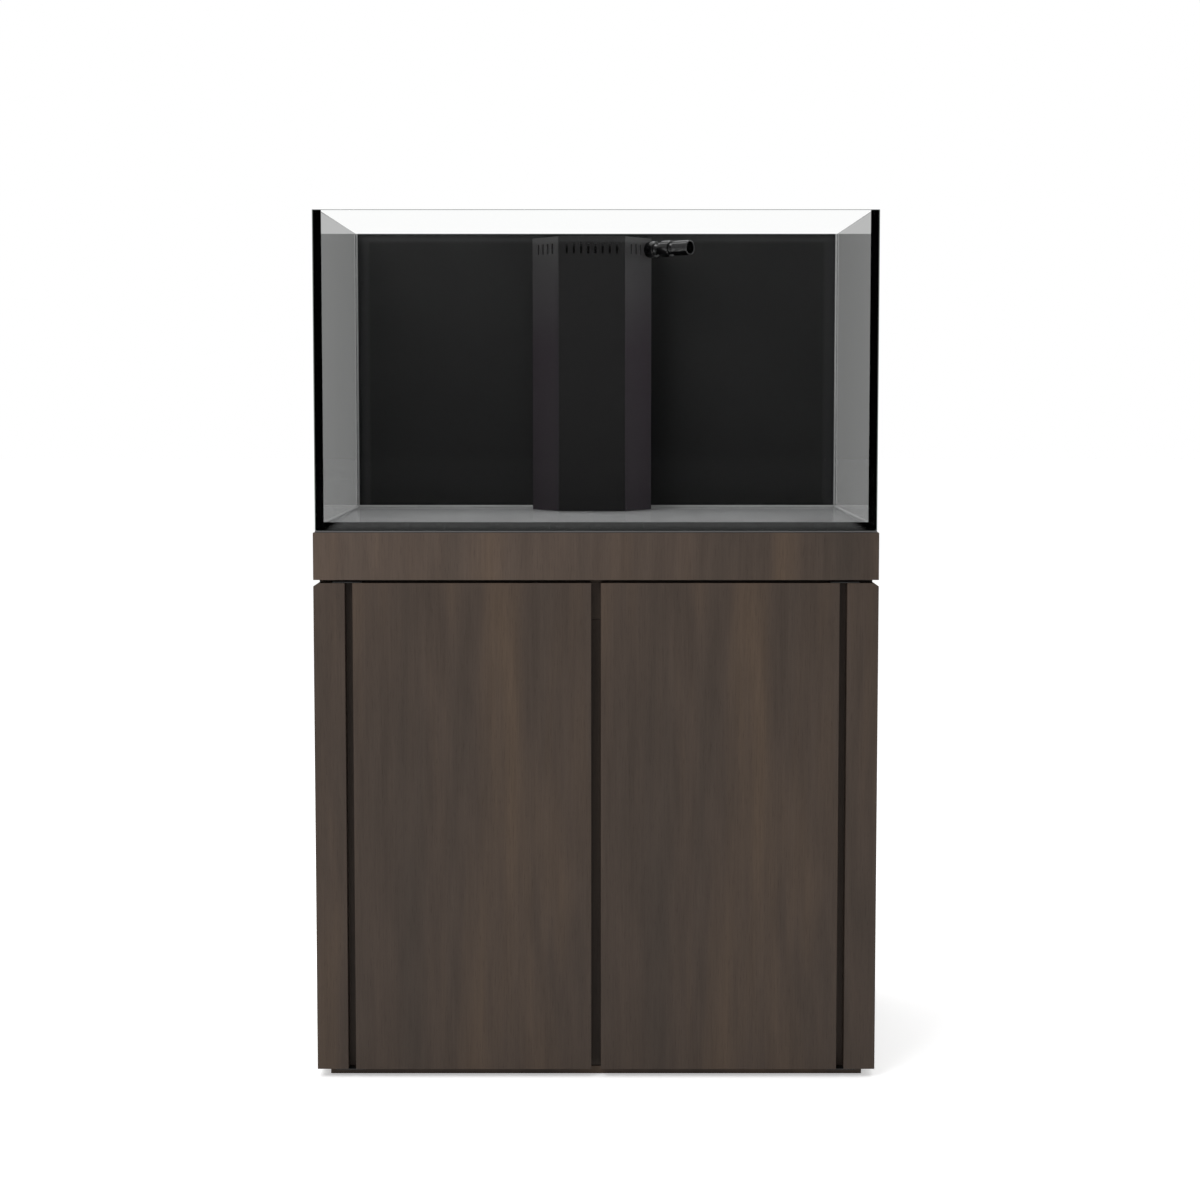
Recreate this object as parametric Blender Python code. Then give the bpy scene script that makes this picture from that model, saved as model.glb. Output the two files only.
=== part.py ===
"""Reef aquarium on a two-door stand, as separate named solids.

Metres, +Z up. The origin is on the floor under the middle of the stand, the front is at -Y.
Every piece keeps a small gap to the piece that it touches.
"""

import math

import bmesh
import bpy
from mathutils import Matrix, Vector

# ---------------------------------------------------------------- driving sizes
GAP = 0.0003  # between two pieces that touch
ROUND = 24  # sides of a round piece

# Tank
TANK_LENGTH = 0.900
TANK_DEPTH = 0.510
TANK_HEIGHT = 0.510
GLASS = 0.010
SEAM = 0.0014  # silicone between two panes
FILLET = 0.0028  # silicone bead in the inside corners
FILM = 0.0007

# Weir at the middle of the back pane
WEIR_X = -0.008
WEIR_WIDTH = 0.213
WEIR_FRONT_WIDTH = 0.1175
WEIR_DEPTH = 0.140
WEIR_SIDE_DEPTH = 0.082
WEIR_WALL = 0.0045
WEIR_BELOW_RIM = 0.015
SLOT_WIDTH = 0.004
SLOT_HEIGHT = 0.018
SLOT_BELOW_TOP = 0.012
FRONT_SLOTS = 8
FRONT_SLOT_PITCH = 0.0127
CHAMFER_SLOTS = 4
CHAMFER_SLOT_PITCH = 0.0132

# Plumbing
PIPE_RADIUS = 0.0125
PIPE_WALL = 0.0025
SOCKET_WALL = 0.003
FIT = 0.0003  # between a pipe and its socket
DRAIN_FROM_SIDE = 0.0405  # drain's axis, from the outer face of the weir's left side
RETURN_BEHIND_FACE = 0.0455  # riser's axis, behind the chamfer on the nozzle's line
PIPE_FROM_BACK = 0.060  # pipe axes, in front of the back pane's inner face
FLANGE_RADIUS = 0.023
FLANGE_THICK = 0.006
NUT_RADIUS = 0.022
NUT_THICK = 0.014
BULKHEAD_ABOVE = 0.024  # socket above the tank's floor
BULKHEAD_BELOW = 0.052  # tail below the tank's floor
SOCKET_DEPTH = 0.018
PASSAGE_RADIUS = 0.026  # holes in the mat and boards under the tank
DRAIN_TOP_BELOW_RIM = 0.130
EMERGENCY_TOP_BELOW_RIM = 0.034

# Return nozzle: base, link and tip on one line, square to the right chamfer
NOZZLE_BELOW_RIM = 0.0355
NOZZLE_FROM_CORNER = 0.0085
ARM_SHORT_OF_FACE = 0.010  # the elbow's arm stops this far inside the chamfer's outer face
TAIL_IN_ARM = 0.006  # how far the base's tail reaches into the arm
BALL_RADIUS = 0.0115
BALL_FIT = 0.0003
NECK_RADIUS = 0.0062
NECK_BORE = 0.0042
COLLAR_RADIUS = 0.0145
MOUTH_FROM_BALL = 0.006  # a socket's mouth, past the centre of its ball
BASE_BALL = 0.012  # first ball centre, from the chamfer's face
LINK_LENGTH = 0.034  # from one ball centre to the next
LINK_WAIST_RADIUS = 0.0112
TIP_RADIUS = 0.0132
TIP_WALL = 0.0024
TIP_LENGTH = 0.047  # from the second ball centre to the open end
SHOULDER_FROM_BALL = 0.010
SHOULDER_RADIUS = 0.008
SHOULDER_TAPER = 0.0045

# Stand
STAND_WIDTH = 0.906
STAND_DEPTH = 0.516
STAND_HEIGHT = 0.889
BOARD = 0.018
MAT = 0.003
TRIM_HEIGHT = 0.076
SHADOW_GAP = 0.005  # between the trim and the body
NECK_INSET = 0.008
CHAMFER_DROP = 0.005  # bevel on the body's top outer edges, under the shadow gap
BASE_HEIGHT = 0.013
BASE_INSET = 0.019
BASE_BEHIND_DOOR = 0.002
BASE_BACK_INSET = 0.020
BODY_FOOT = 0.014  # underside of doors, posts and side panels
POST_FACE = 0.0502  # width of the front face of a corner post
SIDE_GAP = 0.0125  # between a post and its door
CENTRE_GAP = 0.0156  # between the doors
DOOR_OFFSET = 0.003  # from a door's back to the frame behind it
STOP_BEHIND_DOOR = 0.025  # how far a post reaches behind its door
CENTRE_POST = 0.060
TOP_RAIL = 0.060
BACK_LOWER_TOP = 0.430
BACK_RAIL = 0.100

# Door pivots
PIVOT_INSET = 0.006  # from the door's edge, and from its front face
PIN_RADIUS = 0.0025
PIN_LENGTH = 0.022
PLATE_THICK = 0.0015
PLATE_REACH = 0.008  # past the pin, under the door
PLATE_HOLD = 0.020  # under the post
PLATE_MARGIN = 0.003  # in front of the pin

# Sump and what stands in it
SUMP_SIDE_CLEAR = 0.055  # to the left side panel
SUMP_FRONT_CLEAR = 0.069  # behind the frame
SUMP_BACK_CLEAR = 0.005
SUMP_HEIGHT = 0.320
SUMP_WALL = 0.006
BAFFLE_FROM_PIPE = 0.038  # first baffle, to the right of the emergency pipe's axis
BAFFLE_SPACING = 0.032
BAFFLE_HEIGHT = 0.230
BAFFLE_LIFT = 0.030  # water passes under the second baffle
PUMP_BAY = 0.146  # from the second baffle to the end wall
TRAY_LEFT = 0.096  # from the sock's axis
TRAY_RIGHT = 0.054
TRAY_FRONT = 0.074
TRAY_BELOW_RIM = 0.020
TRAY_THICK = 0.005
SOCK_LEFT_OF_DRAIN = 0.010  # the drain empties into the sock, off its middle
SOCK_BEFORE_DRAIN = 0.016
SOCK_RADIUS = 0.048
SOCK_LENGTH = 0.190
SOCK_WALL = 0.0025
SOCK_RING_RADIUS = 0.056
SOCK_RING_THICK = 0.006
SOCK_CLEAR = 0.003
DRAIN_END_ABOVE_SUMP = 0.010
EMERGENCY_END_BELOW_SUMP = 0.100
VALVE_HEIGHT = 0.600  # valve axis above the floor
VALVE_RADIUS = 0.020
VALVE_HALF = 0.036
BONNET_RADIUS = 0.011
BONNET_LENGTH = 0.012
HANDLE_LENGTH = 0.064
HANDLE_WIDTH = 0.012
HANDLE_THICK = 0.008
HUB_RADIUS = 0.010
HUB_THICK = 0.010
PUMP_FROM_FRONT = 0.210  # from the sump's front face to the pump's middle
PUMP_BODY = (0.075, 0.110, 0.070)
PUMP_FOOT = 0.012
PUMP_OUTLET_RADIUS = 0.014
PUMP_OUTLET_HEIGHT = 0.030
PUMP_BEVEL = 0.010
HOSE_RADIUS = 0.011

# ---------------------------------------------------------------- derived places
TRIM_LOW = STAND_HEIGHT - TRIM_HEIGHT
BODY_TOP = TRIM_LOW - SHADOW_GAP
HALF_WIDTH = STAND_WIDTH / 2
HALF_DEPTH = STAND_DEPTH / 2
INNER_HALF_WIDTH = HALF_WIDTH - BOARD
INNER_HALF_DEPTH = HALF_DEPTH - BOARD
TANK_LOW = STAND_HEIGHT + MAT
TANK_FLOOR = TANK_LOW + GLASS
TANK_TOP = TANK_LOW + TANK_HEIGHT
PANE_X = TANK_LENGTH / 2 - GLASS  # inner face of a side pane
PANE_Y = TANK_DEPTH / 2 - GLASS  # inner face of the front or back pane
WEIR_TOP = TANK_TOP - WEIR_BELOW_RIM
WEIR_FLOOR = TANK_FLOOR + GAP
FRONT_Y = -HALF_DEPTH
DOOR_BACK_Y = FRONT_Y + BOARD
FRAME_Y = DOOR_BACK_Y + DOOR_OFFSET  # front face of the frame behind the doors
DOOR_OUTER_X = HALF_WIDTH - POST_FACE - SIDE_GAP
DOOR_INNER_X = CENTRE_GAP / 2
STOP_X = DOOR_OUTER_X - STOP_BEHIND_DOOR
PIVOT_X = DOOR_OUTER_X - PIVOT_INSET
PIVOT_Y = FRONT_Y + PIVOT_INSET
FLOOR_LOW = BASE_HEIGHT + GAP
FLOOR_TOP = FLOOR_LOW + BOARD
PIPE_Y = PANE_Y - PIPE_FROM_BACK
DRAIN_X = WEIR_X - WEIR_WIDTH / 2 + DRAIN_FROM_SIDE
EMERGENCY_X = WEIR_X
BULKHEAD_LOW = TANK_FLOOR - BULKHEAD_BELOW
BULKHEAD_HIGH = TANK_FLOOR + BULKHEAD_ABOVE
SUMP_LOW = FLOOR_TOP + GAP
SUMP_TOP = SUMP_LOW + SUMP_HEIGHT
SUMP_FLOOR = SUMP_LOW + SUMP_WALL
SUMP_LOW_X = -INNER_HALF_WIDTH + SUMP_SIDE_CLEAR
SUMP_FRONT_Y = FRAME_Y + BOARD + SUMP_FRONT_CLEAR
SUMP_BACK_Y = INNER_HALF_DEPTH - SUMP_BACK_CLEAR
BAFFLE_X = (EMERGENCY_X + BAFFLE_FROM_PIPE, EMERGENCY_X + BAFFLE_FROM_PIPE + BAFFLE_SPACING)
SUMP_HIGH_X = BAFFLE_X[1] + SUMP_WALL + PUMP_BAY + SUMP_WALL
PUMP_X = BAFFLE_X[1] + SUMP_WALL + PUMP_BAY / 2
PUMP_Y = SUMP_FRONT_Y + PUMP_FROM_FRONT
TRAY_TOP = SUMP_TOP - TRAY_BELOW_RIM
SOCK_X = DRAIN_X - SOCK_LEFT_OF_DRAIN
SOCK_Y = PIPE_Y - SOCK_BEFORE_DRAIN
NOZZLE_Z = TANK_TOP - NOZZLE_BELOW_RIM

# ---------------------------------------------------------------- materials
FINISHES = {
    "glass": ((0.80, 0.88, 0.86, 1.0), 0.02, 0.0),
    "silicone": ((0.01, 0.01, 0.01, 1.0), 0.45, 0.0),
    "film": ((0.03, 0.03, 0.03, 1.0), 0.50, 0.0),
    "weir_plastic": ((0.06, 0.055, 0.06, 1.0), 0.30, 0.0),
    "black_pvc": ((0.02, 0.02, 0.02, 1.0), 0.35, 0.0),
    "pipe_pvc": ((0.45, 0.46, 0.47, 1.0), 0.40, 0.0),
    "foam": ((0.80, 0.80, 0.78, 1.0), 0.90, 0.0),
    "laminate": ((0.075, 0.055, 0.043, 1.0), 0.45, 0.0),
    "dark_board": ((0.030, 0.024, 0.020, 1.0), 0.60, 0.0),
    "acrylic": ((0.75, 0.82, 0.85, 1.0), 0.05, 0.0),
    "felt": ((0.85, 0.85, 0.82, 1.0), 0.95, 0.0),
    "pump_plastic": ((0.05, 0.05, 0.055, 1.0), 0.40, 0.0),
    "red_plastic": ((0.55, 0.03, 0.02, 1.0), 0.35, 0.0),
    "hose": ((0.10, 0.10, 0.11, 1.0), 0.50, 0.0),
    "steel": ((0.55, 0.56, 0.57, 1.0), 0.30, 1.0),
}


def clear_scene():
    for thing in list(bpy.data.objects):
        bpy.data.objects.remove(thing)


def new_collection(name):
    made = bpy.data.collections.new(name)
    bpy.context.scene.collection.children.link(made)
    return made


def finish_of(name):
    """The named finish as a Principled BSDF material, made once."""
    found = bpy.data.materials.get(name)
    if found:
        return found
    colour, roughness, metallic = FINISHES[name]
    made = bpy.data.materials.new(name)
    made.use_nodes = True
    shader = made.node_tree.nodes["Principled BSDF"]
    shader.inputs["Base Color"].default_value = colour
    shader.inputs["Roughness"].default_value = roughness
    shader.inputs["Metallic"].default_value = metallic
    return made


clear_scene()
PARTS = new_collection("aquarium_on_stand")
CUTTERS = new_collection("cutters")


# ---------------------------------------------------------------- makers
def add_mesh(name, filled, where=(0, 0, 0), finish=None, smooth=False):
    """An object from a bmesh: a part when it has a finish, and a cutter when it has none."""
    bmesh.ops.recalc_face_normals(filled, faces=filled.faces)
    mesh = bpy.data.meshes.new(name)
    filled.to_mesh(mesh)
    filled.free()
    return place(name, mesh, where, finish, smooth)


def place(name, data, where, finish, smooth=False):
    thing = bpy.data.objects.new(name, data)
    thing.location = where
    if finish is None:
        CUTTERS.objects.link(thing)
        thing.hide_render = True
        thing.display_type = "WIRE"
        return thing
    PARTS.objects.link(thing)
    data.materials.append(finish_of(finish))
    if smooth:
        data.shade_smooth()
        data.set_sharp_from_angle(angle=math.radians(35))
    return thing


def box_between(low, high):
    """A bmesh box, centred on zero, with the size that spans low to high."""
    made = bmesh.new()
    bmesh.ops.create_cube(made, size=1)
    size = [high[i] - low[i] for i in range(3)]
    bmesh.ops.scale(made, vec=size, verts=made.verts)
    return made


def middle(low, high):
    return [(low[i] + high[i]) / 2 for i in range(3)]


def board(name, low, high, finish=None):
    """A straight board between two corners."""
    return add_mesh(name, box_between(low, high), middle(low, high), finish)


def prism(name, outline, low_z, high_z, finish=None):
    """A flat outline in XY, stood up between two heights."""
    curve = bpy.data.curves.new(name, "CURVE")
    curve.dimensions = "2D"
    curve.fill_mode = "BOTH"
    curve.extrude = (high_z - low_z) / 2
    spline = curve.splines.new("POLY")
    spline.points.add(len(outline) - 1)
    for point, (x, y) in zip(spline.points, outline):
        point.co = (x, y, 0, 1)
    spline.use_cyclic_u = True
    return as_mesh(name, curve, (0, 0, (low_z + high_z) / 2), finish)


def as_mesh(name, curve, where, finish, smooth=False):
    """The curve's solid as a mesh object, with its caps welded on."""
    guide = bpy.data.objects.new(name + "_guide", curve)
    bpy.context.scene.collection.objects.link(guide)
    bpy.context.view_layer.update()
    graph = bpy.context.evaluated_depsgraph_get()
    mesh = bpy.data.meshes.new_from_object(guide.evaluated_get(graph))
    mesh.materials.clear()
    bpy.data.objects.remove(guide)
    welded = bmesh.new()
    welded.from_mesh(mesh)
    bmesh.ops.remove_doubles(welded, verts=welded.verts, dist=0.000001)
    bmesh.ops.recalc_face_normals(welded, faces=welded.faces)
    welded.to_mesh(mesh)
    welded.free()
    return place(name, mesh, where, finish, smooth)


def turned(name, profile, where, finish=None, along=(0, 0, 1), sides=ROUND):
    """A closed (radius, height) profile turned about an axis through where."""
    outline = bmesh.new()
    points = [outline.verts.new((radius, 0, height)) for radius, height in profile]
    ends_on_axis = profile[0][0] == 0 and profile[-1][0] == 0
    for first, second in zip(points, points[1:]):
        outline.edges.new((first, second))
    if not ends_on_axis:
        outline.edges.new((points[-1], points[0]))
    bmesh.ops.spin(
        outline,
        geom=outline.verts[:] + outline.edges[:],
        cent=(0, 0, 0),
        axis=(0, 0, 1),
        angle=2 * math.pi,
        steps=sides,
        use_merge=True,
    )
    bmesh.ops.remove_doubles(outline, verts=outline.verts, dist=0.000001)
    turn = Vector((0, 0, 1)).rotation_difference(Vector(along)).to_matrix().to_4x4()
    bmesh.ops.transform(outline, matrix=turn, verts=outline.verts)
    return add_mesh(name, outline, where, finish, smooth=True)


def rod(name, radius, start, length, finish=None, along=(0, 0, 1), sides=ROUND):
    """A solid round bar from start, length long in the direction of along."""
    made = bmesh.new()
    bmesh.ops.create_cone(
        made, cap_ends=True, segments=sides, radius1=radius, radius2=radius, depth=length
    )
    shift = Matrix.Translation((0, 0, length / 2))
    turn = Vector((0, 0, 1)).rotation_difference(Vector(along)).to_matrix().to_4x4()
    bmesh.ops.transform(made, matrix=turn @ shift, verts=made.verts)
    return add_mesh(name, made, start, finish, smooth=True)


def pipe(name, low_z, high_z, x, y, finish, radius=PIPE_RADIUS):
    """An upright pipe, open at both ends."""
    bore = radius - PIPE_WALL
    length = high_z - low_z
    profile = [(radius, length), (radius, 0), (bore, 0), (bore, length)]
    return turned(name, profile, (x, y, low_z), finish)


def combine(target, other, operation):
    """Joins other to the target, or cuts it away, and applies the result."""
    step = target.modifiers.new(operation.lower(), "BOOLEAN")
    step.operation = operation
    step.object = other
    step.solver = "EXACT"
    bpy.context.view_layer.update()
    graph = bpy.context.evaluated_depsgraph_get()
    mesh = bpy.data.meshes.new_from_object(target.evaluated_get(graph))
    target.modifiers.remove(step)
    old = target.data
    target.data = mesh
    bpy.data.meshes.remove(old)


def cut(target, cutter):
    combine(target, cutter, "DIFFERENCE")


def join(target, other):
    combine(target, other, "UNION")


def nozzle_line():
    """Where the nozzle's axis meets the right chamfer's face, and the axis's direction."""
    outer, _ = weir_corners()
    run = (outer[2] - outer[1]).normalized()
    foot = outer[1] + run * NOZZLE_FROM_CORNER
    direction = Vector((-run.y, run.x, 0))
    return Vector((foot.x, foot.y, NOZZLE_Z)), direction


def pipe_spots():
    """The plan place of each upright pipe. The return stands under the nozzle's axis."""
    foot, direction = nozzle_line()
    riser = foot - direction * RETURN_BEHIND_FACE
    return {
        "drain": (DRAIN_X, PIPE_Y),
        "emergency": (EMERGENCY_X, PIPE_Y),
        "return": (riser.x, riser.y),
    }


def cut_passages(target, low_z, high_z, radius=PASSAGE_RADIUS):
    """Round holes for the three pipes, through a board or pane between two heights."""
    margin = 0.005
    for use, (x, y) in pipe_spots().items():
        hole = rod(
            f"{target.name}_{use}_hole",
            radius,
            (x, y, low_z - margin),
            high_z - low_z + 2 * margin,
        )
        cut(target, hole)


# ---------------------------------------------------------------- tank
def make_panes():
    half_length, half_depth = TANK_LENGTH / 2, TANK_DEPTH / 2
    for name, sign in (("front_glass", -1), ("back_glass", 1)):
        ys = sorted((sign * PANE_Y, sign * half_depth))
        board(name, (-half_length, ys[0], TANK_LOW), (half_length, ys[1], TANK_TOP), "glass")
    side_y = PANE_Y - SEAM - 2 * GAP
    for name, sign in (("left_glass", -1), ("right_glass", 1)):
        xs = sorted((sign * PANE_X, sign * half_length))
        board(name, (xs[0], -side_y, TANK_LOW), (xs[1], side_y, TANK_TOP), "glass")
    floor_x, floor_y = PANE_X - SEAM - 2 * GAP, PANE_Y - SEAM - 2 * GAP
    pane = board(
        "bottom_glass", (-floor_x, -floor_y, TANK_LOW), (floor_x, floor_y, TANK_FLOOR), "glass"
    )
    cut_passages(pane, TANK_LOW, TANK_FLOOR, PIPE_RADIUS + SOCKET_WALL + 2 * FIT)
    board(
        "back_film",
        (-half_length, half_depth + GAP, TANK_LOW),
        (half_length, half_depth + GAP + FILM, TANK_TOP),
        "film",
    )


def make_seams():
    """One cured body of silicone: a ring round the floor pane and a bead up each corner."""
    outer_x, outer_y = PANE_X - GAP, PANE_Y - GAP
    inner_x, inner_y = PANE_X - SEAM - GAP, PANE_Y - SEAM - GAP
    bead_low, bead_high = TANK_FLOOR + GAP, TANK_FLOOR + GAP + FILLET
    ring = board(
        "tank_seams",
        (-outer_x, -outer_y, TANK_LOW + GAP),
        (outer_x, outer_y, bead_high),
        "silicone",
    )
    pane_room = board(
        "floor_pane_room",
        (-inner_x, -inner_y, TANK_LOW - GLASS),
        (inner_x, inner_y, bead_low),
    )
    slope = box_between((-outer_x, -outer_y, bead_low), (outer_x, outer_y, bead_high))
    spread = (outer_x - SEAM / 2) / outer_x, (outer_y - SEAM / 2) / outer_y
    narrow = (outer_x - FILLET) / outer_x, (outer_y - FILLET) / outer_y
    for corner in slope.verts:
        share = spread if corner.co.z > 0 else narrow
        corner.co.x *= share[0]
        corner.co.y *= share[1]
        corner.co.z *= 1.2
    sloped_room = add_mesh("floor_bead_slope", slope, (0, 0, (bead_low + bead_high) / 2))
    cut(ring, pane_room)
    cut(ring, sloped_room)
    weir_half = WEIR_WIDTH / 2 + GAP
    weir_room = board(
        "weir_room",
        (WEIR_X - weir_half, PANE_Y - WEIR_SIDE_DEPTH, bead_low - GAP / 2),
        (WEIR_X + weir_half, PANE_Y + GLASS, bead_high + GLASS),
    )
    cut(ring, weir_room)
    for x_sign in (-1, 1):
        for y_sign in (-1, 1):
            outline = [
                (TANK_LENGTH / 2, outer_y),
                (outer_x - FILLET, outer_y),
                (outer_x, outer_y - FILLET),
                (outer_x, inner_y),
                (TANK_LENGTH / 2, inner_y),
            ]
            placed = [(x_sign * x, y_sign * y) for x, y in outline]
            bead = prism(
                f"corner_bead_{x_sign}_{y_sign}", placed, TANK_LOW + 2 * GAP, TANK_TOP
            )
            join(ring, bead)


# ---------------------------------------------------------------- weir
def weir_corners():
    """Plan corners of the weir's outer and inner faces, from the right end round to the left."""
    half, front_half = WEIR_WIDTH / 2, WEIR_FRONT_WIDTH / 2
    back_y = PANE_Y - GAP
    outer = [
        (half, back_y),
        (half, PANE_Y - WEIR_SIDE_DEPTH),
        (front_half, PANE_Y - WEIR_DEPTH),
    ]
    outer += [(-x, y) for x, y in reversed(outer)]
    outer = [Vector(corner) for corner in outer]
    inner = [outer[0] + Vector((-WEIR_WALL, 0))]
    for before, here, after in zip(outer, outer[1:], outer[2:]):
        first = (here - before).normalized()
        second = (after - here).normalized()
        inward = Vector((first.y, -first.x)) + Vector((second.y, -second.x))
        half_turn = math.sqrt((1 + first.dot(second)) / 2)
        inner.append(here + inward.normalized() * WEIR_WALL / half_turn)
    inner.append(outer[-1] + Vector((WEIR_WALL, 0)))
    shift = Vector((WEIR_X, 0))
    return [c + shift for c in outer], [c + shift for c in inner]


def weir_panel(name, index):
    """The flat panel between two neighbouring corners, with a joint's gap at each end."""
    outer, inner = weir_corners()
    run = (outer[index + 1] - outer[index]).normalized() * GAP / 2
    outline = [
        outer[index] + run,
        outer[index + 1] - run,
        inner[index + 1] - run,
        inner[index] + run,
    ]
    return prism(name, outline, WEIR_FLOOR, WEIR_TOP, "weir_plastic")


def cut_slots(panel, index, count, pitch):
    """A row of upright slots along the top of a panel."""
    outer, _ = weir_corners()
    centre = (outer[index] + outer[index + 1]) / 2
    run = (outer[index + 1] - outer[index]).normalized()
    high = WEIR_TOP - SLOT_BELOW_TOP
    for number in range(count):
        spot = centre + run * (number - (count - 1) / 2) * pitch
        low_corner = (-SLOT_WIDTH / 2, -2 * WEIR_WALL, high - SLOT_HEIGHT)
        high_corner = (SLOT_WIDTH / 2, 2 * WEIR_WALL, high)
        slot = box_between(low_corner, high_corner)
        turn = Matrix.Rotation(math.atan2(run.y, run.x), 4, "Z")
        bmesh.ops.transform(slot, matrix=turn, verts=slot.verts)
        height = high - SLOT_HEIGHT / 2
        cut(panel, add_mesh(f"{panel.name}_slot_{number}", slot, (spot.x, spot.y, height)))


def make_weir():
    weir_panel("weir_side_right", 0)
    weir_panel("weir_side_left", 4)
    front = weir_panel("weir_front", 2)
    cut_slots(front, 2, FRONT_SLOTS, FRONT_SLOT_PITCH)
    right = weir_panel("weir_chamfer_right", 1)
    left = weir_panel("weir_chamfer_left", 3)
    cut_slots(right, 1, CHAMFER_SLOTS, CHAMFER_SLOT_PITCH)
    cut_slots(left, 3, CHAMFER_SLOTS, CHAMFER_SLOT_PITCH)
    foot, direction = nozzle_line()
    hole_length = 4 * WEIR_WALL
    hole = rod(
        "nozzle_hole",
        NECK_RADIUS + FIT,
        foot - direction * hole_length / 2,
        hole_length,
        along=direction,
    )
    cut(right, hole)


# ---------------------------------------------------------------- plumbing in the tank
def make_bulkhead(name, x, y):
    """A flanged fitting through the floor pane, with a pipe socket at each end and a nut below."""
    tail = PIPE_RADIUS + FIT
    body = PIPE_RADIUS + SOCKET_WALL
    bore = PIPE_RADIUS - PIPE_WALL
    flange_low = TANK_FLOOR + GAP
    nut_high = TANK_LOW - GAP
    profile = [
        (body, BULKHEAD_HIGH),
        (body, flange_low + FLANGE_THICK),
        (FLANGE_RADIUS, flange_low + FLANGE_THICK),
        (FLANGE_RADIUS, flange_low),
        (body, flange_low),
        (body, nut_high),
        (NUT_RADIUS, nut_high),
        (NUT_RADIUS, nut_high - NUT_THICK),
        (body, nut_high - NUT_THICK),
        (body, BULKHEAD_LOW),
        (tail, BULKHEAD_LOW),
        (tail, BULKHEAD_LOW + SOCKET_DEPTH),
        (bore, BULKHEAD_LOW + SOCKET_DEPTH),
        (bore, BULKHEAD_HIGH - SOCKET_DEPTH),
        (tail, BULKHEAD_HIGH - SOCKET_DEPTH),
        (tail, BULKHEAD_HIGH),
    ]
    lowered = [(radius, height - BULKHEAD_LOW) for radius, height in profile]
    turned(name, lowered, (x, y, BULKHEAD_LOW), "black_pvc")


def make_elbow():
    """Carries the riser round to the nozzle: two sockets that meet in a round corner."""
    foot, direction = nozzle_line()
    corner = Vector((*pipe_spots()["return"], NOZZLE_Z))
    outer = PIPE_RADIUS + SOCKET_WALL
    drop = outer + SOCKET_DEPTH
    down_start = corner - Vector((0, 0, drop))
    reach = (foot - corner).length - ARM_SHORT_OF_FACE
    elbow = rod("return_elbow", outer, down_start, drop, "black_pvc")
    dome = bmesh.new()
    dome_radius = outer + SOCKET_WALL / 4
    bmesh.ops.create_uvsphere(
        dome, u_segments=ROUND, v_segments=ROUND // 2, radius=dome_radius
    )
    join(elbow, add_mesh("elbow_dome", dome, corner))
    arm_radius = NECK_RADIUS + SOCKET_WALL
    join(elbow, rod("elbow_arm", arm_radius, corner, reach, along=direction))
    riser_start = down_start - Vector((0, 0, GLASS))
    riser_room = rod(
        "elbow_riser_room", PIPE_RADIUS + FIT, riser_start, SOCKET_DEPTH + GLASS
    )
    cut(elbow, riser_room)
    cut(elbow, rod("elbow_bore", NECK_BORE, down_start, drop + NECK_BORE / 2))
    bore_start = corner - direction * NECK_BORE / 2
    bore_length = reach + GLASS
    cut(elbow, rod("elbow_arm_bore", NECK_BORE, bore_start, bore_length, along=direction))
    arm_room = rod(
        "elbow_arm_room",
        NECK_RADIUS + FIT,
        corner + direction * (reach - TAIL_IN_ARM - GAP),
        2 * TAIL_IN_ARM,
        along=direction,
    )
    cut(elbow, arm_room)


def make_tank_pipes():
    spots = pipe_spots()
    for use, (x, y) in spots.items():
        make_bulkhead(f"{use}_bulkhead", x, y)
    pipe_low = BULKHEAD_HIGH - SOCKET_DEPTH + GAP
    tops = {
        "drain_standpipe": ("drain", TANK_TOP - DRAIN_TOP_BELOW_RIM),
        "emergency_standpipe": ("emergency", TANK_TOP - EMERGENCY_TOP_BELOW_RIM),
        "return_riser": ("return", NOZZLE_Z - PIPE_RADIUS - SOCKET_WALL - GAP),
    }
    for name, (use, top) in tops.items():
        pipe(name, pipe_low, top, *spots[use], "black_pvc")


# ---------------------------------------------------------------- nozzle
def arc(radius, start_angle, end_angle, centre_height=0.0, steps=8):
    """(radius, height) points of a ball's surface, angles from the axis at the top."""
    points = []
    for step in range(steps + 1):
        angle = start_angle + (end_angle - start_angle) * step / steps
        points.append((radius * math.sin(angle), centre_height + radius * math.cos(angle)))
    return points


def socket_profile():
    """The inside of a ball socket, from its mouth down to its bore, about the ball's centre."""
    room = BALL_RADIUS + BALL_FIT
    mouth_angle = math.acos(MOUTH_FROM_BALL / room)
    bore_angle = math.pi - math.asin(NECK_BORE / room)
    return arc(room, mouth_angle, bore_angle)


def ball_profile():
    """The outside of a ball, from its neck down to its bore, about the ball's centre."""
    neck_angle = math.asin(NECK_RADIUS / BALL_RADIUS)
    bore_angle = math.pi - math.asin(NECK_BORE / BALL_RADIUS)
    return arc(BALL_RADIUS, neck_angle, bore_angle)


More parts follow.
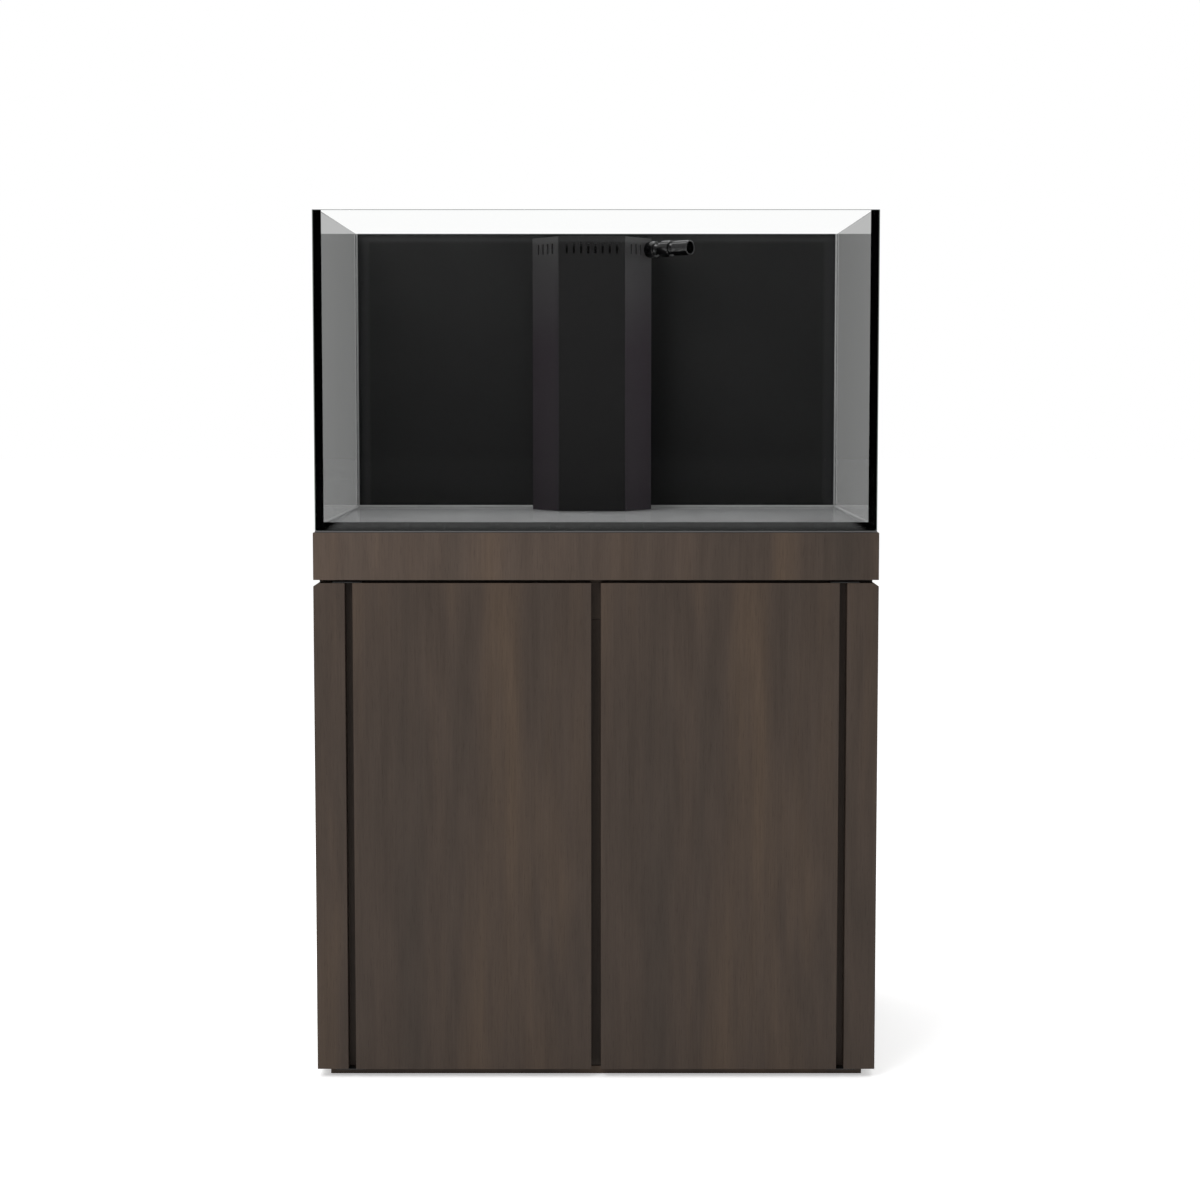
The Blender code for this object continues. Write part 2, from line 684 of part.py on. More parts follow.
def make_nozzle():
    foot, direction = nozzle_line()
    tail = ARM_SHORT_OF_FACE + TAIL_IN_ARM
    room = BALL_RADIUS + BALL_FIT
    mouth_radius = math.sqrt(room**2 - MOUTH_FROM_BALL**2)
    base_outside = [
        (mouth_radius, BASE_BALL + MOUTH_FROM_BALL),
        (COLLAR_RADIUS - 0.001, BASE_BALL + MOUTH_FROM_BALL),
        (COLLAR_RADIUS, BASE_BALL + MOUTH_FROM_BALL - 0.001),
        (COLLAR_RADIUS, 0.004),
        (COLLAR_RADIUS - 0.001, GAP),
        (NECK_RADIUS, GAP),
        (NECK_RADIUS, -tail),
        (NECK_BORE, -tail),
    ]
    base_inside = [(r, BASE_BALL + h) for r, h in reversed(socket_profile()[1:])]
    turned("nozzle_base", base_outside + base_inside, foot, "black_pvc", direction)

    first_ball = foot + direction * BASE_BALL
    collar_low = LINK_LENGTH - BASE_BALL
    link_outside = [
        (mouth_radius, LINK_LENGTH + MOUTH_FROM_BALL),
        (COLLAR_RADIUS - 0.001, LINK_LENGTH + MOUTH_FROM_BALL),
        (COLLAR_RADIUS, LINK_LENGTH + MOUTH_FROM_BALL - 0.001),
        (COLLAR_RADIUS, collar_low),
        (LINK_WAIST_RADIUS, collar_low - 0.001),
        (LINK_WAIST_RADIUS, SHOULDER_FROM_BALL + SHOULDER_TAPER),
        (SHOULDER_RADIUS, SHOULDER_FROM_BALL),
        (NECK_RADIUS, SHOULDER_FROM_BALL),
    ]
    link_inside = [(r, LINK_LENGTH + h) for r, h in reversed(socket_profile()[1:])]
    turned(
        "nozzle_link",
        link_outside + ball_profile() + link_inside,
        first_ball,
        "black_pvc",
        direction,
    )

    second_ball = first_ball + direction * LINK_LENGTH
    tip_bore = TIP_RADIUS - TIP_WALL
    throat = SHOULDER_FROM_BALL + 2 * SHOULDER_TAPER
    tip_profile = [
        (TIP_RADIUS - 0.0006, TIP_LENGTH),
        (TIP_RADIUS, TIP_LENGTH - 0.0006),
        (TIP_RADIUS, SHOULDER_FROM_BALL + SHOULDER_TAPER),
        (SHOULDER_RADIUS, SHOULDER_FROM_BALL),
        (NECK_RADIUS, SHOULDER_FROM_BALL),
    ]
    tip_profile += ball_profile()
    tip_profile += [
        (NECK_BORE, throat),
        (tip_bore, throat + SHOULDER_TAPER),
        (tip_bore, TIP_LENGTH),
    ]
    turned("nozzle_tip", tip_profile, second_ball, "black_pvc", direction)


# ---------------------------------------------------------------- stand
def make_top():
    """Mat, top board and its beams, the trim round them and the plate in the shadow gap."""
    mat_x, mat_y = TANK_LENGTH / 2, TANK_DEPTH / 2
    mat = board(
        "levelling_mat",
        (-mat_x, -mat_y, STAND_HEIGHT + GAP),
        (mat_x, mat_y, TANK_LOW - GAP),
        "foam",
    )
    cut_passages(mat, STAND_HEIGHT, TANK_LOW)
    board_x, board_y = INNER_HALF_WIDTH - GAP, INNER_HALF_DEPTH - GAP
    board_low = STAND_HEIGHT - BOARD
    top = board(
        "top_board", (-board_x, -board_y, board_low), (board_x, board_y, STAND_HEIGHT), "dark_board"
    )
    cut_passages(top, board_low, STAND_HEIGHT)
    for name, sign in (("top_beam_front", -1), ("top_beam_back", 1)):
        ys = sorted((sign * board_y, sign * (board_y - BOARD)))
        low = (-board_x, ys[0], TRIM_LOW)
        high = (board_x, ys[1], board_low - GAP)
        board(name, low, high, "dark_board")
    for name, sign in (("trim_front", -1), ("trim_back", 1)):
        ys = sorted((sign * INNER_HALF_DEPTH, sign * HALF_DEPTH))
        low = (-HALF_WIDTH, ys[0], TRIM_LOW)
        high = (HALF_WIDTH, ys[1], STAND_HEIGHT)
        board(name, low, high, "laminate")
    for name, sign in (("trim_left", -1), ("trim_right", 1)):
        xs = sorted((sign * INNER_HALF_WIDTH, sign * HALF_WIDTH))
        low = (xs[0], -board_y, TRIM_LOW)
        high = (xs[1], board_y, STAND_HEIGHT)
        board(name, low, high, "laminate")
    neck_x = HALF_WIDTH - NECK_INSET
    neck_low, neck_high = BODY_TOP + GAP, TRIM_LOW - GAP
    neck = board(
        "neck_plate",
        (-neck_x, DOOR_BACK_Y, neck_low),
        (neck_x, HALF_DEPTH - NECK_INSET, neck_high),
        "dark_board",
    )
    cut_passages(neck, neck_low, neck_high)


def cut_top_edge(target, sign):
    """The bevel on the outer top edge of a side of the body, along its whole depth."""
    over = 0.004
    slope = CHAMFER_DROP / NECK_INSET
    outline = [
        (sign * (HALF_WIDTH + over), BODY_TOP - CHAMFER_DROP - over * slope),
        (sign * (HALF_WIDTH + over), BODY_TOP + over * slope),
        (sign * (HALF_WIDTH - NECK_INSET - over), BODY_TOP + over * slope),
    ]
    wedge = bmesh.new()
    ends = (-HALF_DEPTH - over, HALF_DEPTH + over)
    rings = [[wedge.verts.new((x, y, z)) for x, z in outline] for y in ends]
    wedge.faces.new(rings[0])
    wedge.faces.new(reversed(rings[1]))
    for first in range(3):
        second = (first + 1) % 3
        corners = (rings[0][first], rings[1][first], rings[1][second], rings[0][second])
        wedge.faces.new(corners)
    cut(target, add_mesh(f"{target.name}_bevel", wedge))


def make_sides():
    for side, sign in (("left", -1), ("right", 1)):
        xs = sorted((sign * INNER_HALF_WIDTH, sign * HALF_WIDTH))
        panel = board(
            f"side_panel_{side}",
            (xs[0], DOOR_BACK_Y + GAP, BODY_FOOT),
            (xs[1], HALF_DEPTH, BODY_TOP),
            "laminate",
        )
        cut_top_edge(panel, sign)
        outline = [
            (HALF_WIDTH, FRONT_Y),
            (HALF_WIDTH - POST_FACE, FRONT_Y),
            (HALF_WIDTH - POST_FACE, FRAME_Y),
            (STOP_X, FRAME_Y),
            (STOP_X, FRAME_Y + BOARD),
            (INNER_HALF_WIDTH - GAP, FRAME_Y + BOARD),
            (INNER_HALF_WIDTH - GAP, DOOR_BACK_Y),
            (HALF_WIDTH, DOOR_BACK_Y),
        ]
        placed = [(sign * x, y) for x, y in outline]
        post = prism(f"corner_post_{side}", placed, BODY_FOOT, BODY_TOP, "laminate")
        cut_top_edge(post, sign)


def make_frame():
    """Centre post and top rail behind the doors, the floor, the base and the back."""
    post_x = CENTRE_POST / 2
    rail_low = BODY_TOP - TOP_RAIL
    board(
        "centre_post",
        (-post_x, FRAME_Y, BODY_FOOT),
        (post_x, FRAME_Y + BOARD, rail_low - GAP),
        "laminate",
    )
    board(
        "face_rail_top",
        (-STOP_X + GAP, FRAME_Y, rail_low),
        (STOP_X - GAP, FRAME_Y + BOARD, BODY_TOP),
        "laminate",
    )
    behind_y = FRAME_Y + BOARD + GAP
    half = [
        (post_x + GAP, behind_y),
        (post_x + GAP, FRAME_Y),
        (STOP_X - GAP, FRAME_Y),
        (STOP_X - GAP, behind_y),
        (INNER_HALF_WIDTH - GAP, behind_y),
        (INNER_HALF_WIDTH - GAP, INNER_HALF_DEPTH - GAP),
    ]
    outline = half + [(-x, y) for x, y in reversed(half)]
    prism("cabinet_floor", outline, FLOOR_LOW, FLOOR_TOP, "laminate")
    base_x = HALF_WIDTH - BASE_INSET
    board(
        "base_board",
        (-base_x, DOOR_BACK_Y + BASE_BEHIND_DOOR, 0),
        (base_x, HALF_DEPTH - BASE_BACK_INSET, BASE_HEIGHT),
        "laminate",
    )
    back_x = INNER_HALF_WIDTH - GAP
    board(
        "back_panel_lower",
        (-back_x, INNER_HALF_DEPTH, BODY_FOOT),
        (back_x, HALF_DEPTH, BACK_LOWER_TOP),
        "laminate",
    )
    board(
        "back_rail_top",
        (-back_x, INNER_HALF_DEPTH, BODY_TOP - BACK_RAIL),
        (back_x, HALF_DEPTH, BODY_TOP),
        "laminate",
    )


def make_door(side, sign):
    """A door with its origin on its pivot axis, and a blind hole for a pin at each end."""
    xs = sorted((sign * DOOR_INNER_X, sign * DOOR_OUTER_X))
    door = board(
        f"door_{side}",
        (xs[0], FRONT_Y, BODY_FOOT),
        (xs[1], DOOR_BACK_Y, BODY_TOP),
        "laminate",
    )
    depth = PIN_LENGTH + 0.003
    for low in (BODY_FOOT - depth, BODY_TOP - depth):
        hole = rod(
            f"door_{side}_pin_hole",
            PIN_RADIUS + FIT,
            (sign * PIVOT_X, PIVOT_Y, low),
            2 * depth,
        )
        cut(door, hole)
    pivot = Vector((sign * PIVOT_X, PIVOT_Y, 0))
    door.data.transform(Matrix.Translation(door.location - pivot))
    door.location = pivot


def make_pivot(side, sign, end):
    """A thin plate screwed to the end of the corner post, with the pin that the door turns on."""
    if end == "bottom":
        low = BODY_FOOT - GAP - PLATE_THICK
        pin_start, pin_way = low + PLATE_THICK / 2, 1
    else:
        low = BODY_TOP + GAP
        pin_start, pin_way = low + PLATE_THICK / 2, -1
    hold_x = HALF_WIDTH - POST_FACE + PLATE_HOLD
    xs = sorted((sign * hold_x, sign * (PIVOT_X - PLATE_REACH)))
    plate = board(
        f"pivot_{side}_{end}",
        (xs[0], PIVOT_Y - PLATE_MARGIN, low),
        (xs[1], DOOR_BACK_Y - GAP, low + PLATE_THICK),
        "steel",
    )
    pin = rod(
        f"pin_{side}_{end}",
        PIN_RADIUS,
        (sign * PIVOT_X, PIVOT_Y, pin_start),
        PIN_LENGTH,
        along=(0, 0, pin_way),
    )
    join(plate, pin)


def make_doors():
    for side, sign in (("left", -1), ("right", 1)):
        make_door(side, sign)
        for end in ("top", "bottom"):
            make_pivot(side, sign, end)


# ---------------------------------------------------------------- plumbing in the cabinet
def make_sump():
    tank = board(
        "sump_tank",
        (SUMP_LOW_X, SUMP_FRONT_Y, SUMP_LOW),
        (SUMP_HIGH_X, SUMP_BACK_Y, SUMP_TOP),
        "acrylic",
    )
    room = board(
        "sump_room",
        (SUMP_LOW_X + SUMP_WALL, SUMP_FRONT_Y + SUMP_WALL, SUMP_FLOOR),
        (SUMP_HIGH_X - SUMP_WALL, SUMP_BACK_Y - SUMP_WALL, SUMP_TOP + SUMP_WALL),
    )
    cut(tank, room)
    for name, x, lift in zip(("baffle_low", "baffle_high"), BAFFLE_X, (0, BAFFLE_LIFT)):
        board(
            name,
            (x, SUMP_FRONT_Y + SUMP_WALL + GAP, SUMP_FLOOR + GAP + lift),
            (x + SUMP_WALL, SUMP_BACK_Y - SUMP_WALL - GAP, SUMP_FLOOR + lift + BAFFLE_HEIGHT),
            "acrylic",
        )
    tray_back = SUMP_BACK_Y - SUMP_WALL - GAP
    tray = board(
        "sock_tray",
        (SOCK_X - TRAY_LEFT, SOCK_Y - TRAY_FRONT, TRAY_TOP - TRAY_THICK),
        (SOCK_X + TRAY_RIGHT, tray_back, TRAY_TOP),
        "black_pvc",
    )
    hole = rod(
        "sock_hole",
        SOCK_RADIUS + SOCK_CLEAR,
        (SOCK_X, SOCK_Y, TRAY_TOP - 2 * TRAY_THICK),
        3 * TRAY_THICK,
    )
    cut(tray, hole)


def make_sock():
    """A felt bag that hangs through the tray by its plastic ring."""
    ring_low = GAP
    ring_high = ring_low + SOCK_RING_THICK
    inner = SOCK_RADIUS - SOCK_WALL
    bottom = ring_low - SOCK_LENGTH
    steps = 5
    outside = []
    inside = []
    for step in range(steps + 1):
        angle = math.pi / 2 * step / steps
        outside.append((SOCK_RADIUS * math.cos(angle), bottom + 0.03 - 0.03 * math.sin(angle)))
        inside.append((inner * math.cos(angle), bottom + 0.03 - 0.0275 * math.sin(angle)))
    outside[-1] = (0.0, bottom)
    inside[-1] = (0.0, bottom + SOCK_WALL)
    profile = [(0.0, bottom + SOCK_WALL)] + list(reversed(inside[:-1]))
    profile += [
        (inner, ring_high),
        (SOCK_RING_RADIUS, ring_high),
        (SOCK_RING_RADIUS, ring_low),
        (SOCK_RADIUS, ring_low),
    ]
    profile += outside
    turned("filter_sock", profile, (SOCK_X, SOCK_Y, TRAY_TOP), "felt")


def make_valve():
    """A quarter-turn valve in the drain, and its handle on the stem in front of it."""
    x = DRAIN_X
    outer = PIPE_RADIUS + SOCKET_WALL
    socket_room = PIPE_RADIUS + FIT
    bore = PIPE_RADIUS - PIPE_WALL
    shoulder = VALVE_HALF - SOCKET_DEPTH
    profile = [
        (outer, VALVE_HALF),
        (outer, shoulder),
        (VALVE_RADIUS, shoulder - 0.004),
        (VALVE_RADIUS, 0.004 - shoulder),
        (outer, -shoulder),
        (outer, -VALVE_HALF),
        (socket_room, -VALVE_HALF),
        (socket_room, -shoulder),
        (bore, -shoulder),
        (bore, shoulder),
        (socket_room, shoulder),
        (socket_room, VALVE_HALF),
    ]
    axis_point = Vector((x, PIPE_Y, VALVE_HEIGHT))
    body = turned("drain_valve", profile, axis_point, "pipe_pvc")
    stem_from = (VALVE_RADIUS + bore) / 2
    stem_end = VALVE_RADIUS + BONNET_LENGTH
    stem = rod(
        "valve_stem",
        BONNET_RADIUS,
        axis_point - Vector((0, stem_from, 0)),
        stem_end - stem_from,
        along=(0, -1, 0),
    )
    join(body, stem)
    hub_start = axis_point - Vector((0, stem_end + GAP, 0))
    handle = rod("valve_handle", HUB_RADIUS, hub_start, HUB_THICK, "red_plastic", (0, -1, 0))
    bar_y = hub_start.y - HUB_THICK
    bar = board(
        "handle_bar",
        (x - HANDLE_WIDTH / 2, bar_y, VALVE_HEIGHT - HANDLE_LENGTH / 2),
        (x + HANDLE_WIDTH / 2, bar_y + HANDLE_THICK, VALVE_HEIGHT + HANDLE_LENGTH / 2),
    )
    join(handle, bar)


def make_pump():
    """A return pump on its foot, with its outlet on top and the gland of its lead at the back."""
    foot_z = SUMP_FLOOR + GAP
    half_x, half_y = PUMP_BODY[0] / 2, PUMP_BODY[1] / 2
    low = (PUMP_X - half_x, PUMP_Y - half_y, foot_z + PUMP_FOOT)
    high = (PUMP_X + half_x, PUMP_Y + half_y, foot_z + PUMP_FOOT + PUMP_BODY[2])
    block = box_between(low, high)
    bmesh.ops.bevel(
        block, geom=block.edges[:], offset=PUMP_BEVEL, segments=3, profile=0.5, affect="EDGES"
    )
    pump = add_mesh("return_pump", block, middle(low, high), "pump_plastic", smooth=True)
    foot = board(
        "pump_foot",
        (PUMP_X - half_x - PUMP_FOOT, PUMP_Y - half_y, foot_z),
        (PUMP_X + half_x + PUMP_FOOT, PUMP_Y + half_y, foot_z + 1.5 * PUMP_FOOT),
    )
    join(pump, foot)
    outlet_low = high[2] - PUMP_BEVEL
    outlet = rod(
        "pump_outlet",
        PUMP_OUTLET_RADIUS,
        (PUMP_X, PUMP_Y, outlet_low),
        PUMP_OUTLET_HEIGHT + PUMP_BEVEL,
    )
    join(pump, outlet)
    gland_start = (PUMP_X, high[1] - PUMP_BEVEL, foot_z + PUMP_FOOT + PUMP_BODY[2] / 2)
    join(pump, rod("pump_gland", PUMP_FOOT / 2, gland_start, 2 * PUMP_FOOT, along=(0, 1, 0)))
    return high[2] + PUMP_OUTLET_HEIGHT


def make_hose(outlet_top):
    """The return hose, from the pump's outlet up to the tail of the return fitting."""
    start = Vector((PUMP_X, PUMP_Y, outlet_top + GAP))
    end = Vector((*pipe_spots()["return"], BULKHEAD_LOW - GAP))
    steps = 26
    pull = 0.45 * (end.z - start.z)
    curve = bpy.data.curves.new("return_hose", "CURVE")
    curve.dimensions = "3D"
    curve.bevel_depth = HOSE_RADIUS
    curve.bevel_resolution = 2
    curve.use_fill_caps = True
    spline = curve.splines.new("POLY")
    spline.points.add(steps)
    for number, point in enumerate(spline.points):
        share = number / steps
        rest = 1 - share
        lower, upper = start + Vector((0, 0, pull)), end - Vector((0, 0, pull))
        spot = rest**3 * start + 3 * rest**2 * share * lower
        spot = spot + 3 * rest * share**2 * upper + share**3 * end
        point.co = (*spot, 1)
    as_mesh("return_hose", curve, (0, 0, 0), "hose", smooth=True)


def make_cabinet_pipes():
    shoulder = VALVE_HALF - SOCKET_DEPTH
    socket_high = BULKHEAD_LOW + SOCKET_DEPTH - GAP
    upper_low = VALVE_HEIGHT + shoulder + GAP
    pipe("drain_pipe_upper", upper_low, socket_high, DRAIN_X, PIPE_Y, "pipe_pvc")
    drain_end = SUMP_TOP + DRAIN_END_ABOVE_SUMP
    lower_high = VALVE_HEIGHT - shoulder - GAP
    pipe("drain_pipe_lower", drain_end, lower_high, DRAIN_X, PIPE_Y, "pipe_pvc")
    emergency_end = SUMP_TOP - EMERGENCY_END_BELOW_SUMP
    pipe("emergency_pipe", emergency_end, socket_high, EMERGENCY_X, PIPE_Y, "pipe_pvc")


def main():
    make_panes()
    make_seams()
    make_weir()
    make_tank_pipes()
    make_elbow()
    make_nozzle()
    make_top()
    make_sides()
    make_frame()
    make_doors()
    make_sump()
    make_sock()
    make_valve()
    make_cabinet_pipes()
    make_hose(make_pump())


main()
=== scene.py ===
"""The looks of the aquarium on its stand: materials, fittings, light, floor and camera.

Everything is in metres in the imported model's own frame, with the front towards -Y.
"""

import math

import bmesh
import bpy
from mathutils import Matrix, Vector


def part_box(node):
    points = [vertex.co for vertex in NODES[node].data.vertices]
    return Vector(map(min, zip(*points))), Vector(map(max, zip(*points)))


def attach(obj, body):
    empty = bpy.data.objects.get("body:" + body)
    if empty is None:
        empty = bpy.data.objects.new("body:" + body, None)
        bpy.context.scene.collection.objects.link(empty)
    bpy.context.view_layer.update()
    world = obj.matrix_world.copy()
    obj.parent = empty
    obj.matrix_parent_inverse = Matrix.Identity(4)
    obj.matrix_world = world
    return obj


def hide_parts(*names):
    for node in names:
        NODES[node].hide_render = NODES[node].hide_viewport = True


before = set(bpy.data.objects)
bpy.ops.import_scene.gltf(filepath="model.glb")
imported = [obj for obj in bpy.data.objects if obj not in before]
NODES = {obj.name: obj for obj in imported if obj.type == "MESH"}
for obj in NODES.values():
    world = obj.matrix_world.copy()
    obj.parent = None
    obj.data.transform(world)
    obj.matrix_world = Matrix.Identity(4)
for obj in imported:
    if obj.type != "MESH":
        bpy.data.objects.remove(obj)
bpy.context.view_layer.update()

# The camera stands where the photograph's did: in front, at about the height of an adult's chest.
CAMERA_SPOT = (0.0064, -3.495, 1.115)
CAMERA_LENS = 60.9
CAMERA_PITCH = 3.86  # degrees below level
CAMERA_SHIFT = -0.06

# The studio is white where the camera sees it, itself or through glass.
WORLD_SEEN = 1.0
# How bright it is as a light, by direction: dimmest from behind the camera.
WORLD_FRONT = 0.30
WORLD_SIDE = 0.80
WORLD_BACK = 0.95
FLOOR_HALF = 30.0
FLOOR_DROP = 0.0005  # below the object's feet
FLOOR_GLOW = 0.43
# Softboxes: name, place, what it points at, size and watts.
SOFTBOXES = (
    ("key", (-1.6, -2.2, 3.0), (0, 0, 0.8), (2.0, 1.4), 60),
    ("top", (0.0, 0.1, 3.2), (0, 0, 1.0), (2.4, 1.6), 45),
)

WALNUT_DARK = (0.048, 0.0367, 0.0297)
WALNUT_MID = (0.060, 0.0438, 0.0344)
WALNUT_WARM = (0.086, 0.0590, 0.0405)
GLASS_CLEAR = (0.985, 0.988, 0.986)
GLASS_EDGE = (0.040, 0.062, 0.054)
GLASS_WITHIN = (0.20, 0.22, 0.21)  # what a cut edge passes, seen from within its pane
GLASS_MIRROR = 0.0008  # how much a pane mirrors when seen square on
TANK_HALF = 0.450  # half the tank's length
MAT_TOP = 0.889  # where the stand ends and the mat begins
CLEAR_SEAMS_FROM = -0.2415  # the y behind which the silicone is clear
SEAM_FOOT_SLOPE = 1.4  # how steeply the painted reflection in the foot of the front seams narrows upwards
SEAM_FOOT_FADE = (0.008, 0.022)
FILM_SIDE_FADE = (0.030, 0.034)  # how far in from the film's sides their paler margins, a painted reflection, end
FILM_TOP_FADE = (0.0140, 0.0160)  # the same, down from its top edge
WEIR_RIM_FADE = (0.0085, 0.0105)  # the same for the weir's paler rim, a painted reflection
WEIR_SHADE_BELOW = 0.007  # the film behind the weir is dark with painted shade from this far below the weir's top

WELD_REACH = 0.00002
SOFT_ANGLE = math.radians(20)  # a sharper turn than this stays an edge
FLAT_ANGLE = math.radians(1)
BEVEL_ANGLE = math.radians(40)
BEVEL_STEPS = 2
BEVELS = {
    "laminate": 0.0007,
    "dark_board": 0.0006,
    "glass": 0.0006,
    "foam": 0.0004,
    "acrylic": 0.0005,
    "steel": 0.0002,
}

CABINET = "stand"
SOCK_FELT = 0.0024  # thickness of the filter bag's felt
SOCK_FOLDS = 5
SOCK_STEPS = 40
SOCK_SIDES = 72
SOCK_STRAIGHT = 0.72  # the share of the bag's depth that lies above its round bottom
SOCK_BELOW_RIM = 0.0065
SOCK_CLEARANCE = 0.0012  # under the bag
SOCK_RING_LIP = 0.0115  # how far the ring stands out from the bag
STITCH_LEVELS = (-0.0095, -0.0125)  # two rows round the bag, below the ring's top
STITCHES_ROUND = 64
STITCHES_DOWN = 30
STITCH_PITCH = 0.0052
STITCH_HALF = 0.0014
HOSE_RADIUS = 0.011
HOSE_SIDES = 28
HOSE_RIB = 0.0003
HOSE_RIB_STEPS = 4
HOSE_STEPS = 260
CLAMP_STEP = 12  # how many steps from each end of the hose its clamp is
HOSE_START = (0.141, 0.060)  # the pump's outlet
HOSE_END = (0.05797, 0.18536)  # the return fitting under the tank
PUMP_BODY_LOW = Vector((0.1035, 0.005, 0.0496))
PUMP_BODY_HIGH = Vector((0.1785, 0.115, 0.1196))
PUMP_SCREW_RADIUS = 0.0030
BOARD_SCREW_RADIUS = 0.0035
BOARD_SCREW_INSET = 0.012
BUMPER_FROM_END = 0.060
BUMPER_FROM_EDGE = 0.010

# ---------------------------------------------------------------- node helpers


class Paint:
    """A material being made, with short calls for its nodes."""

    def __init__(self, name):
        self.material = bpy.data.materials.new(name)
        self.material.use_nodes = True
        self.tree = self.material.node_tree
        self.tree.nodes.clear()
        self.out = self.add("ShaderNodeOutputMaterial")

    def add(self, kind, inputs=None, **settings):
        node = self.tree.nodes.new(kind)
        for key, value in settings.items():
            setattr(node, key, value)
        for key, value in (inputs or {}).items():
            if isinstance(value, bpy.types.NodeSocket):
                self.tree.links.new(value, node.inputs[key])
            else:
                node.inputs[key].default_value = value
        return node

    def spots(self, stretch=(1, 1, 1), offset=(0, 0, 0)):
        """Points on the piece in metres, scaled along each axis. They stay put when it moves."""
        coords = self.add("ShaderNodeTexCoord")
        inputs = {"Vector": coords.outputs["Object"], "Scale": stretch, "Location": offset}
        return self.add("ShaderNodeMapping", inputs).outputs["Vector"]

    def noise(self, spots, scale, detail=3.0, rough=0.5, distort=0.0):
        inputs = {
            "Vector": spots,
            "Scale": scale,
            "Detail": detail,
            "Roughness": rough,
            "Distortion": distort,
        }
        return self.add("ShaderNodeTexNoise", inputs).outputs["Fac"]

    def ramp(self, factor, *stops):
        """Colours along a factor. A stop is (place, colour or grey)."""
        node = self.add("ShaderNodeValToRGB", {"Fac": factor})
        band = node.color_ramp
        while len(band.elements) < len(stops):
            band.elements.new(0.5)
        for element, (place, colour) in zip(band.elements, stops):
            element.position = place
            grey = isinstance(colour, (int, float))
            element.color = (colour, colour, colour, 1) if grey else (*colour, 1)
        return node.outputs["Color"]

    def span(self, value, low, high):
        """A noise from 0 to 1 taken to low to high."""
        inputs = {"Value": value, "To Min": low, "To Max": high}
        return self.add("ShaderNodeMapRange", inputs).outputs["Result"]

    def mixed(self, factor, first, second, blend="MIX"):
        node = self.add("ShaderNodeMix", data_type="RGBA", blend_type=blend)
        for place, value in ((0, factor), (6, first), (7, second)):
            if isinstance(value, bpy.types.NodeSocket):
                self.tree.links.new(value, node.inputs[place])
            elif place == 0:
                node.inputs[place].default_value = value
            else:
                node.inputs[place].default_value = (*value, 1)
        return node.outputs[2]

    def maths(self, operation, first, second=0.0):
        node = self.add("ShaderNodeMath", operation=operation)
        for place, value in enumerate((first, second)):
            if isinstance(value, bpy.types.NodeSocket):
                self.tree.links.new(value, node.inputs[place])
            else:
                node.inputs[place].default_value = value
        return node.outputs[0]

    def bump(self, height, distance, strength=1.0):
        inputs = {"Height": height, "Distance": distance, "Strength": strength}
        return self.add("ShaderNodeBump", inputs).outputs["Normal"]

    def surface(self, colour, roughness, normal=None, **more):
        """Ends the material with a Principled shader. Names in more are its sockets, with _ for spaces."""
        shader = self.add("ShaderNodeBsdfPrincipled")
        sockets = {"Base Color": colour, "Roughness": roughness}
        sockets.update({key.replace("_", " "): value for key, value in more.items()})
        if normal is not None:
            sockets["Normal"] = normal
        for key, value in sockets.items():
            if isinstance(value, bpy.types.NodeSocket):
                self.tree.links.new(value, shader.inputs[key])
            elif isinstance(value, tuple) and len(value) == 3:
                shader.inputs[key].default_value = (*value, 1)
            else:
                shader.inputs[key].default_value = value
        self.finish(shader.outputs[0])
        return self.material

    def finish(self, shader):
        self.tree.links.new(shader, self.out.inputs["Surface"])


# ------------------------------------------------------------------ materials


def walnut(name, offset=(0, 0, 0), shade=1.0, left_lightening=0.0):
    """Dark walnut laminate with its grain upright: soft streaks, finer ones in them, and pores.

    Its last argument sets how much lighter it is at its left end than its right: painted light from the
    left.
    """
    paint = Paint(name)
    wander = paint.noise(paint.spots((1, 1, 0.35), offset), 3.0, 1.0)
    bend = paint.add("ShaderNodeVectorMath", operation="SCALE")
    paint.tree.links.new(wander, bend.inputs[0])
    bend.inputs["Scale"].default_value = 0.05
    grained = paint.add("ShaderNodeVectorMath", operation="ADD")
    paint.tree.links.new(paint.spots((1, 1, 0.10), offset), grained.inputs[0])
    paint.tree.links.new(bend.outputs[0], grained.inputs[1])
    along = grained.outputs[0]
    broad = paint.noise(along, 9.0, 3.0, 0.55)
    streak = paint.noise(along, 55.0, 4.0, 0.6)
    fine_spots = paint.spots((1, 1, 0.02), offset)
    fibre = paint.noise(fine_spots, 420.0, 3.0, 0.6)
    pore = paint.noise(paint.spots((1, 1, 0.05), offset), 900.0, 2.0, 0.5)
    dark = tuple(shade * part for part in WALNUT_DARK)
    mid = tuple(shade * part for part in WALNUT_MID)
    warm = tuple(shade * part for part in WALNUT_WARM)
    base = paint.ramp(broad, (0.30, dark), (0.50, mid), (0.72, warm))
    toned = paint.mixed(0.55, base, paint.ramp(streak, (0.30, 0.62), (0.70, 1.0)), "MULTIPLY")
    fibred = paint.mixed(0.35, toned, paint.ramp(fibre, (0.30, 0.70), (0.65, 1.0)), "MULTIPLY")
    pored = paint.mixed(0.30, fibred, paint.ramp(pore, (0.30, 0.35), (0.42, 1.0)), "MULTIPLY")
    # Painted light: the colour is lightened towards the piece's left end.
    if left_lightening:
        coords = paint.add("ShaderNodeTexCoord")
        parts = paint.add("ShaderNodeSeparateXYZ", {"Vector": coords.outputs["Object"]})
        place = paint.maths("ADD", parts.outputs[0], 0.5)
        ends = paint.ramp(place, (0.05, 1.0), (0.95, 1.0 - left_lightening))
        pored = paint.mixed(1.0, pored, ends, "MULTIPLY")
    relief = paint.maths("ADD", fibre, paint.maths("MULTIPLY", pore, 0.5))
    rough = paint.span(streak, 0.46, 0.62)
    return paint.surface(pored, rough, paint.bump(relief, 0.0002, 0.35), Specular_IOR_Level=0.13)


